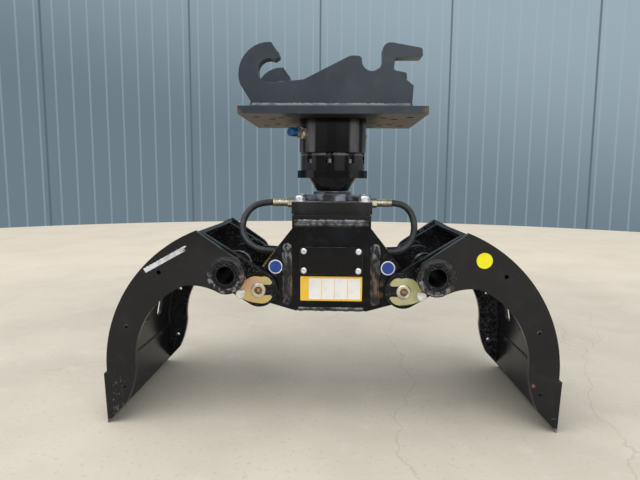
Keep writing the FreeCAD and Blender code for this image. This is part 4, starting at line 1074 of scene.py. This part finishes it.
def weldEars():
    look = earWelds
    mesh = bmesh.new()
    for face in look["faces"]:
        for y, away in bothFaces(face, face == look["faces"][1]):
            run = [(x, y + away * 0.002, look["top"] + 0.003) for x in (look["from"], look["to"])]
            layBead(mesh, run, (0, away, 0.9), look["alongBead"])
    for x, away in ((look["from"] - 0.003, -1), (look["to"] + 0.003, 1)):
        for side in (-1, 1):
            run = [(x, side * face, look["top"] + 0.002) for face in look["faces"]]
            layBead(mesh, run, (away, 0, 0.9), look["endBead"])
    addPiece("earWelds", mesh, "hitch", "weldHitch")


weldEars()
print("frame and hitch welded")


# stickers: thin films
def filmPiece(name, outlinePoints, y, thickness, body, material):
    # lies in the XZ plane, its front towards the camera
    mesh = bmesh.new()
    back = [mesh.verts.new((x, y, z)) for x, z in outlinePoints]
    front = [mesh.verts.new((x, y - thickness, z)) for x, z in outlinePoints]
    mesh.faces.new(back)
    mesh.faces.new(list(reversed(front)))
    for index in range(len(back)):
        other = (index + 1) % len(back)
        mesh.faces.new((back[index], back[other], front[other], front[index]))
    return addPiece(name, mesh, body, material, smooth=False)


def roundedBox(low, high, radius, steps=5):
    (x0, z0), (x1, z1) = low, high
    points = []
    for cx, cz, start in ((x1 - radius, z1 - radius, 0), (x0 + radius, z1 - radius, 90),
                          (x0 + radius, z0 + radius, 180), (x1 - radius, z0 + radius, 270)):
        for step in range(steps + 1):
            angle = math.radians(start + 90 * step / steps)
            points.append((cx + radius * math.cos(angle), cz + radius * math.sin(angle)))
    return points


panelLook = {
    "low": (-0.0870, 0.3405), "high": (0.0885, 0.4110), "corner": 0.0025, "film": 0.0004,
    "border": 0.0050, "firstField": 0.0245, "fields": 4, "gap": 0.0016, "fieldCorner": 0.0010,
}


def makePanel():
    # amber panel with blank fields
    look = panelLook
    face = -frameWelds["face"]
    filmPiece("amberPanel", roundedBox(look["low"], look["high"], look["corner"]), face, look["film"],
              "frame", "panelAmber")
    start = look["low"][0] + look["firstField"]
    end = look["high"][0] - look["border"]
    width = (end - start - look["gap"] * (look["fields"] - 1)) / look["fields"]
    for index in range(look["fields"]):
        x = start + index * (width + look["gap"])
        low = (x, look["low"][1] + look["border"])
        high = (x + width, look["high"][1] - look["border"])
        filmPiece("panelField%d" % (index + 1), roundedBox(low, high, look["fieldCorner"]),
                  face - look["film"], look["film"] * 0.5, "frame", "panelWhite")


discLook = {
    "places": {"left": (-0.1580, 0.4375), "right": (0.1605, 0.437)},
    "radius": 0.0202, "ring": 0.0170, "film": 0.0004,
}


def makeDiscs():
    face = -frameWelds["face"]
    film = discLook["film"]
    for side, (x, z) in discLook["places"].items():
        filmPiece(side + "DiscRing", circle(x, z, discLook["radius"]), face, film, "frame", "ringWhite")
        filmPiece(side + "DiscBlue", circle(x, z, discLook["ring"]), face - film, film * 0.5,
                  "frame", "discBlue")


jawStickers = {
    "dot": {"place": (0.4065, 0.4738), "radius": 0.0212},
    "strip": {
        "start": (-0.5045, 0.4355), "end": (-0.3920, 0.4985), "half": 0.0064, "steps": 60,
        "upperTear": 0.0016, "lowerTear": 0.0012,
        "prongs": [(0.9, 0.55), (0.7, 0.30), (-1.6, 0.22), (-0.3, -0.10), (-0.5, -0.40), (-2.4, -0.35)],
    },
    "film": 0.0004,
}


def makeJawStickers():
    face = -jawWelds["outerFace"]
    dot, strip, film = (jawStickers[key] for key in ("dot", "strip", "film"))
    filmPiece("yellowDot", circle(*dot["place"], dot["radius"]), face, film, "jaw_right", "dotYellow")
    start, end = Vector(strip["start"]), Vector(strip["end"])
    along = (end - start).normalized()
    across = Vector((-along.y, along.x))
    length = (end - start).length
    half, steps = strip["half"], strip["steps"]
    upper, lower = [], []
    for step in range(steps + 1):
        place = start + along * (length * step / steps)
        torn = strip["upperTear"] * noise.noise(Vector((step * 0.45, 2.0, 5.0)))
        frayed = strip["lowerTear"] * noise.noise(Vector((step * 0.9, 8.0, 1.0)))
        upper.append(place + across * (half + torn))
        lower.append(place - across * (half - frayed))
    tornEnd = [end + along * reach * half + across * aside * half for reach, aside in strip["prongs"]]
    outlinePoints = [tuple(point) for point in upper + tornEnd + list(reversed(lower))]
    filmPiece("tornStrip", outlinePoints, face, film, "jaw_left", "stripWhite")


makePanel()
makeDiscs()
makeJawStickers()
print("stickers on")


# grease in the pin recesses, with a grease nipple in the middle
pinLook = {
    "x": 0.202, "z": 0.376, "end": 0.208, "recess": 0.0055,
    "greaseRadius": 0.0105, "greaseDepth": 0.0035, "rings": 6, "around": 28, "rimDepth": 0.0012,
    "lumpScale": 260, "nippleFoot": 0.001, "nippleAround": 16,
    "nippleProfile": [(0.0, 0.0032), (0.002, 0.0032), (0.002, 0.0022), (0.0045, 0.0022),
                      (0.0052, 0.0028), (0.0062, 0.0028), (0.0068, 0.0016)],  # height, radius
}


def fillRecess(mesh, x, seat, away):
    look = pinLook
    rings = []
    for ring in range(look["rings"] + 1):
        radius = look["greaseRadius"] * ring / look["rings"]
        verts = []
        for across, up in circle(x, look["z"], radius, look["around"] if ring else 1):
            place = Vector((across, 0, up))
            lump = 0.5 + 0.8 * noise.noise(place * look["lumpScale"] + Vector((0, away * 4, 0)))
            place.y = seat + away * look["greaseDepth"] * lump
            verts.append(mesh.verts.new(place))
        rings.append(verts)
    rim = [mesh.verts.new((vert.co.x, seat - away * look["rimDepth"], vert.co.z)) for vert in rings[-1]]
    rings.append(rim)
    for step in range(look["around"]):
        other = (step + 1) % look["around"]
        mesh.faces.new((rings[0][0], rings[1][step], rings[1][other]))
        for inner, outer in zip(rings[1:], rings[2:]):
            mesh.faces.new((inner[step], outer[step], outer[other], inner[other]))
    mesh.faces.new(rim)


def turnNipple(mesh, x, seat, away):
    look = pinLook
    base = seat + away * look["nippleFoot"]
    turned = []
    for height, radius in look["nippleProfile"]:
        ring = circle(x, look["z"], radius, look["nippleAround"])
        turned.append([mesh.verts.new((across, base + away * height, up)) for across, up in ring])
    for first, second in zip(turned, turned[1:]):
        for step in range(look["nippleAround"]):
            other = (step + 1) % look["nippleAround"]
            mesh.faces.new((first[step], first[other], second[other], second[step]))
    mesh.faces.new(turned[0])
    mesh.faces.new(turned[-1])


def makeGrease(side, sign):
    grease = bmesh.new()
    nipples = bmesh.new()
    for away in (-1, 1):
        seat = away * (pinLook["end"] - pinLook["recess"])
        fillRecess(grease, sign * pinLook["x"], seat, away)
        turnNipple(nipples, sign * pinLook["x"], seat, away)
    addPiece(side + "PinGrease", grease, "jaw_" + side, "grease")
    addPiece(side + "GreaseNipples", nipples, "jaw_" + side, "bronze", smooth=False)


makeGrease("left", -1)
makeGrease("right", 1)
print("pins greased")


# floor of the yard, with stains from the large to the small as pattern, share and colour
floorLook = {
    "color": (0.775, 0.697, 0.570), "radius": 7.0, "rounds": 96,
    "stains": [
        ((2.2, 8.0, 0.36, 0.66), 0.9, (0.6975, 0.6273, 0.5130)),
        ((11.0, 12.0, 0.54, 0.78), 0.42, (0.84, 0.78, 0.69)),
        ((3.6, 12.0, 0.52, 0.78), 0.36, (0.56, 0.50, 0.42)),
        ((70.0, 6.0, 0.58, 0.70), 0.22, (0.34, 0.31, 0.27)),
    ],
    "crack": (0.44, 0.39, 0.32), "crackShare": 0.30, "crackScale": 0.55, "crackHalf": (0.0016, 0.0003),
    "crackWander": (0.4, 0.4, 0.4),
    "glow": (0.86, 0.74, 0.56), "glowStrength": 0.34, "glowFrom": 0.9, "glowFull": 3.6,
}


def crackPattern(shader):
    # thin wandering lines between large cells
    wander = shader.add("TexNoise", inputs={"Vector": shader.coords, "Scale": 1.7, "Detail": 5.0})
    bent = shader.add("VectorMath", {"operation": "MULTIPLY_ADD"},
                      {0: wander.outputs["Color"], 1: floorLook["crackWander"], 2: shader.coords})
    cells = shader.add("TexVoronoi", {"feature": "DISTANCE_TO_EDGE"},
                       {"Vector": bent.outputs[0], "Scale": floorLook["crackScale"]})
    return shader.between(cells.outputs["Distance"], *floorLook["crackHalf"])


def floorMaterial():
    look = floorLook
    shader = Shader("yardFloor")
    tone = look["color"]
    for pattern, share, tint in look["stains"]:
        tone = shader.blend(shader.times(shader.mask(*pattern), share), tone, tint)
    tone = shader.blend(shader.times(crackPattern(shader), look["crackShare"]), tone, look["crack"])
    # the yard gets lighter with distance, as seen and as mirrored, and lights nothing
    gap = shader.add("VectorMath", {"operation": "LENGTH"}, {"Vector": shader.coords})
    far = shader.between(gap.outputs["Value"], look["glowFrom"], look["glowFull"])
    glow = shader.times(far, shader.shown(), look["glowStrength"])
    fine = shader.relief(shader.cloud(90.0, 5.0), 0.08, 0.002)
    return shader.finish(tone, 0.85, fine, {"Specular IOR Level": 0.2, "Emission Color": look["glow"],
                                            "Emission Strength": glow})


def makeFloor():
    mesh = bmesh.new()
    rim = circle(0, 0, floorLook["radius"], floorLook["rounds"])
    mesh.faces.new([mesh.verts.new((x, y, 0)) for x, y in rim])
    data = bpy.data.meshes.new("yardFloor")
    mesh.to_mesh(data)
    mesh.free()
    data.materials.append(floorMaterial())
    floor = newObject("yardFloor", data)


# the sky gives an even light, and shows one view of the yard to the camera and in glossy paint
lightLook = {
    "sky": (0.88, 0.93, 1.0), "skyStrength": 0.62,
    "lamps": [
        {"name": "overhead", "place": (-0.6, -0.9, 3.2), "size": 3.2, "power": 62,
         "color": (1.0, 0.98, 0.96)},
        {"name": "frontFill", "place": (1.6, -3.4, 1.9), "size": 2.6, "power": 26,
         "color": (0.94, 0.97, 1.0)},
    ],
    "aim": (0, 0, 0.45),
}
wallLook = {
    "low": (0.150, 0.206, 0.243), "high": (0.322, 0.410, 0.466), "rise": (0.0, 0.75),
    "riseUp": 1.9, "riseAcross": 0.55,
    "rib": (0.40, 0.47, 0.53), "ribShare": 0.32, "ribPitch": 1.54, "ribCrest": (0.90, 0.99),  # degrees
    "seam": (0.095, 0.120, 0.145), "seamShare": 0.8, "seamHalf": (0.0104, 0.00325),
    "panelAngle": 14.0, "firstSeam": 92.0,
    "ahead": (0.0, 0.03), "top": (0.56, 0.52),
}
openLook = {
    "ground": (0.56, 0.51, 0.44), "skyline": (0.17, 0.19, 0.20), "zenith": (0.76, 0.81, 0.87),
    "groundTop": (-0.012, 0.004), "skylineTop": (0.06, 0.15), "zenithFrom": (0.4, 0.8),
    "raggedScale": 9.0, "ragged": 0.08,
}


class Sky(Wiring):
    def __init__(self, world):
        world.use_nodes = True
        super().__init__(world.node_tree)
        self.direction = self.add("TexCoord").outputs["Generated"]
        self.across, self.ahead, self.height = self.add("SeparateXYZ", inputs={0: self.direction}).outputs


def wallColor(sky):
    # sheet cladding in upright panels, lighter towards its top right
    look = wallLook
    angle = sky.times(sky.calc("ARCTAN2", sky.ahead, sky.across), 180 / math.pi)
    rise = sky.calc("ADD", sky.times(sky.height, look["riseUp"]), sky.times(sky.across, look["riseAcross"]))
    tone = sky.blend(sky.between(rise, *look["rise"]), look["low"], look["high"])
    # the rib crests are painted lighter, as painted highlights
    ribs = sky.calc("SINE", sky.times(angle, 2 * math.pi / look["ribPitch"]))
    ribs = sky.times(sky.between(ribs, *look["ribCrest"]), look["ribShare"])
    tone = sky.blend(ribs, tone, look["rib"])
    panels = sky.calc("DIVIDE", sky.calc("SUBTRACT", angle, look["firstSeam"]), look["panelAngle"])
    seams = sky.between(sky.calc("PINGPONG", panels, 0.5), *look["seamHalf"])
    return sky.blend(sky.times(seams, look["seamShare"]), tone, look["seam"])


def openColor(sky):
    # ground, a low soft skyline and an overcast sky
    look = openLook
    cloudy = sky.add("TexNoise", inputs={"Vector": sky.direction, "Scale": look["raggedScale"]}).outputs[0]
    ragged = sky.times(sky.calc("SUBTRACT", cloudy, 0.5), look["ragged"])
    ragged = sky.calc("ADD", sky.height, ragged)
    tone = sky.blend(sky.between(sky.height, *look["groundTop"]), look["ground"], look["skyline"])
    tone = sky.blend(sky.between(ragged, *look["skylineTop"]), tone, lightLook["sky"])
    return sky.blend(sky.between(sky.height, *look["zenithFrom"]), tone, look["zenith"])


def makeSky():
    scene.world = bpy.data.worlds.new("yardSky")
    sky = Sky(scene.world)
    even = sky.tree.nodes["Background"]
    sky.feed(even.inputs[0], lightLook["sky"])
    sky.feed(even.inputs[1], lightLook["skyStrength"])
    onWall = sky.times(sky.between(sky.ahead, *wallLook["ahead"]), sky.between(sky.height, *wallLook["top"]))
    yard = sky.add("Background", inputs={0: sky.blend(onWall, openColor(sky), wallColor(sky))})
    mix = sky.add("MixShader", inputs={0: sky.shown(), 1: even.outputs[0], 2: yard.outputs[0]})
    sky.feed(sky.tree.nodes["World Output"].inputs[0], mix.outputs[0])


def makeLamps():
    for lamp in lightLook["lamps"]:
        data = bpy.data.lights.new(lamp["name"], "AREA")
        data.size = lamp["size"]
        data.energy = lamp["power"]
        data.color = lamp["color"]
        light = newObject(lamp["name"], data)
        light.location = lamp["place"]
        aim = Vector(lightLook["aim"]) - Vector(lamp["place"])
        light.rotation_euler = aim.to_track_quat("-Z", "Y").to_euler()


makeFloor()
makeSky()
makeLamps()
scene.view_settings.view_transform = "Standard"
print("stage and light set")
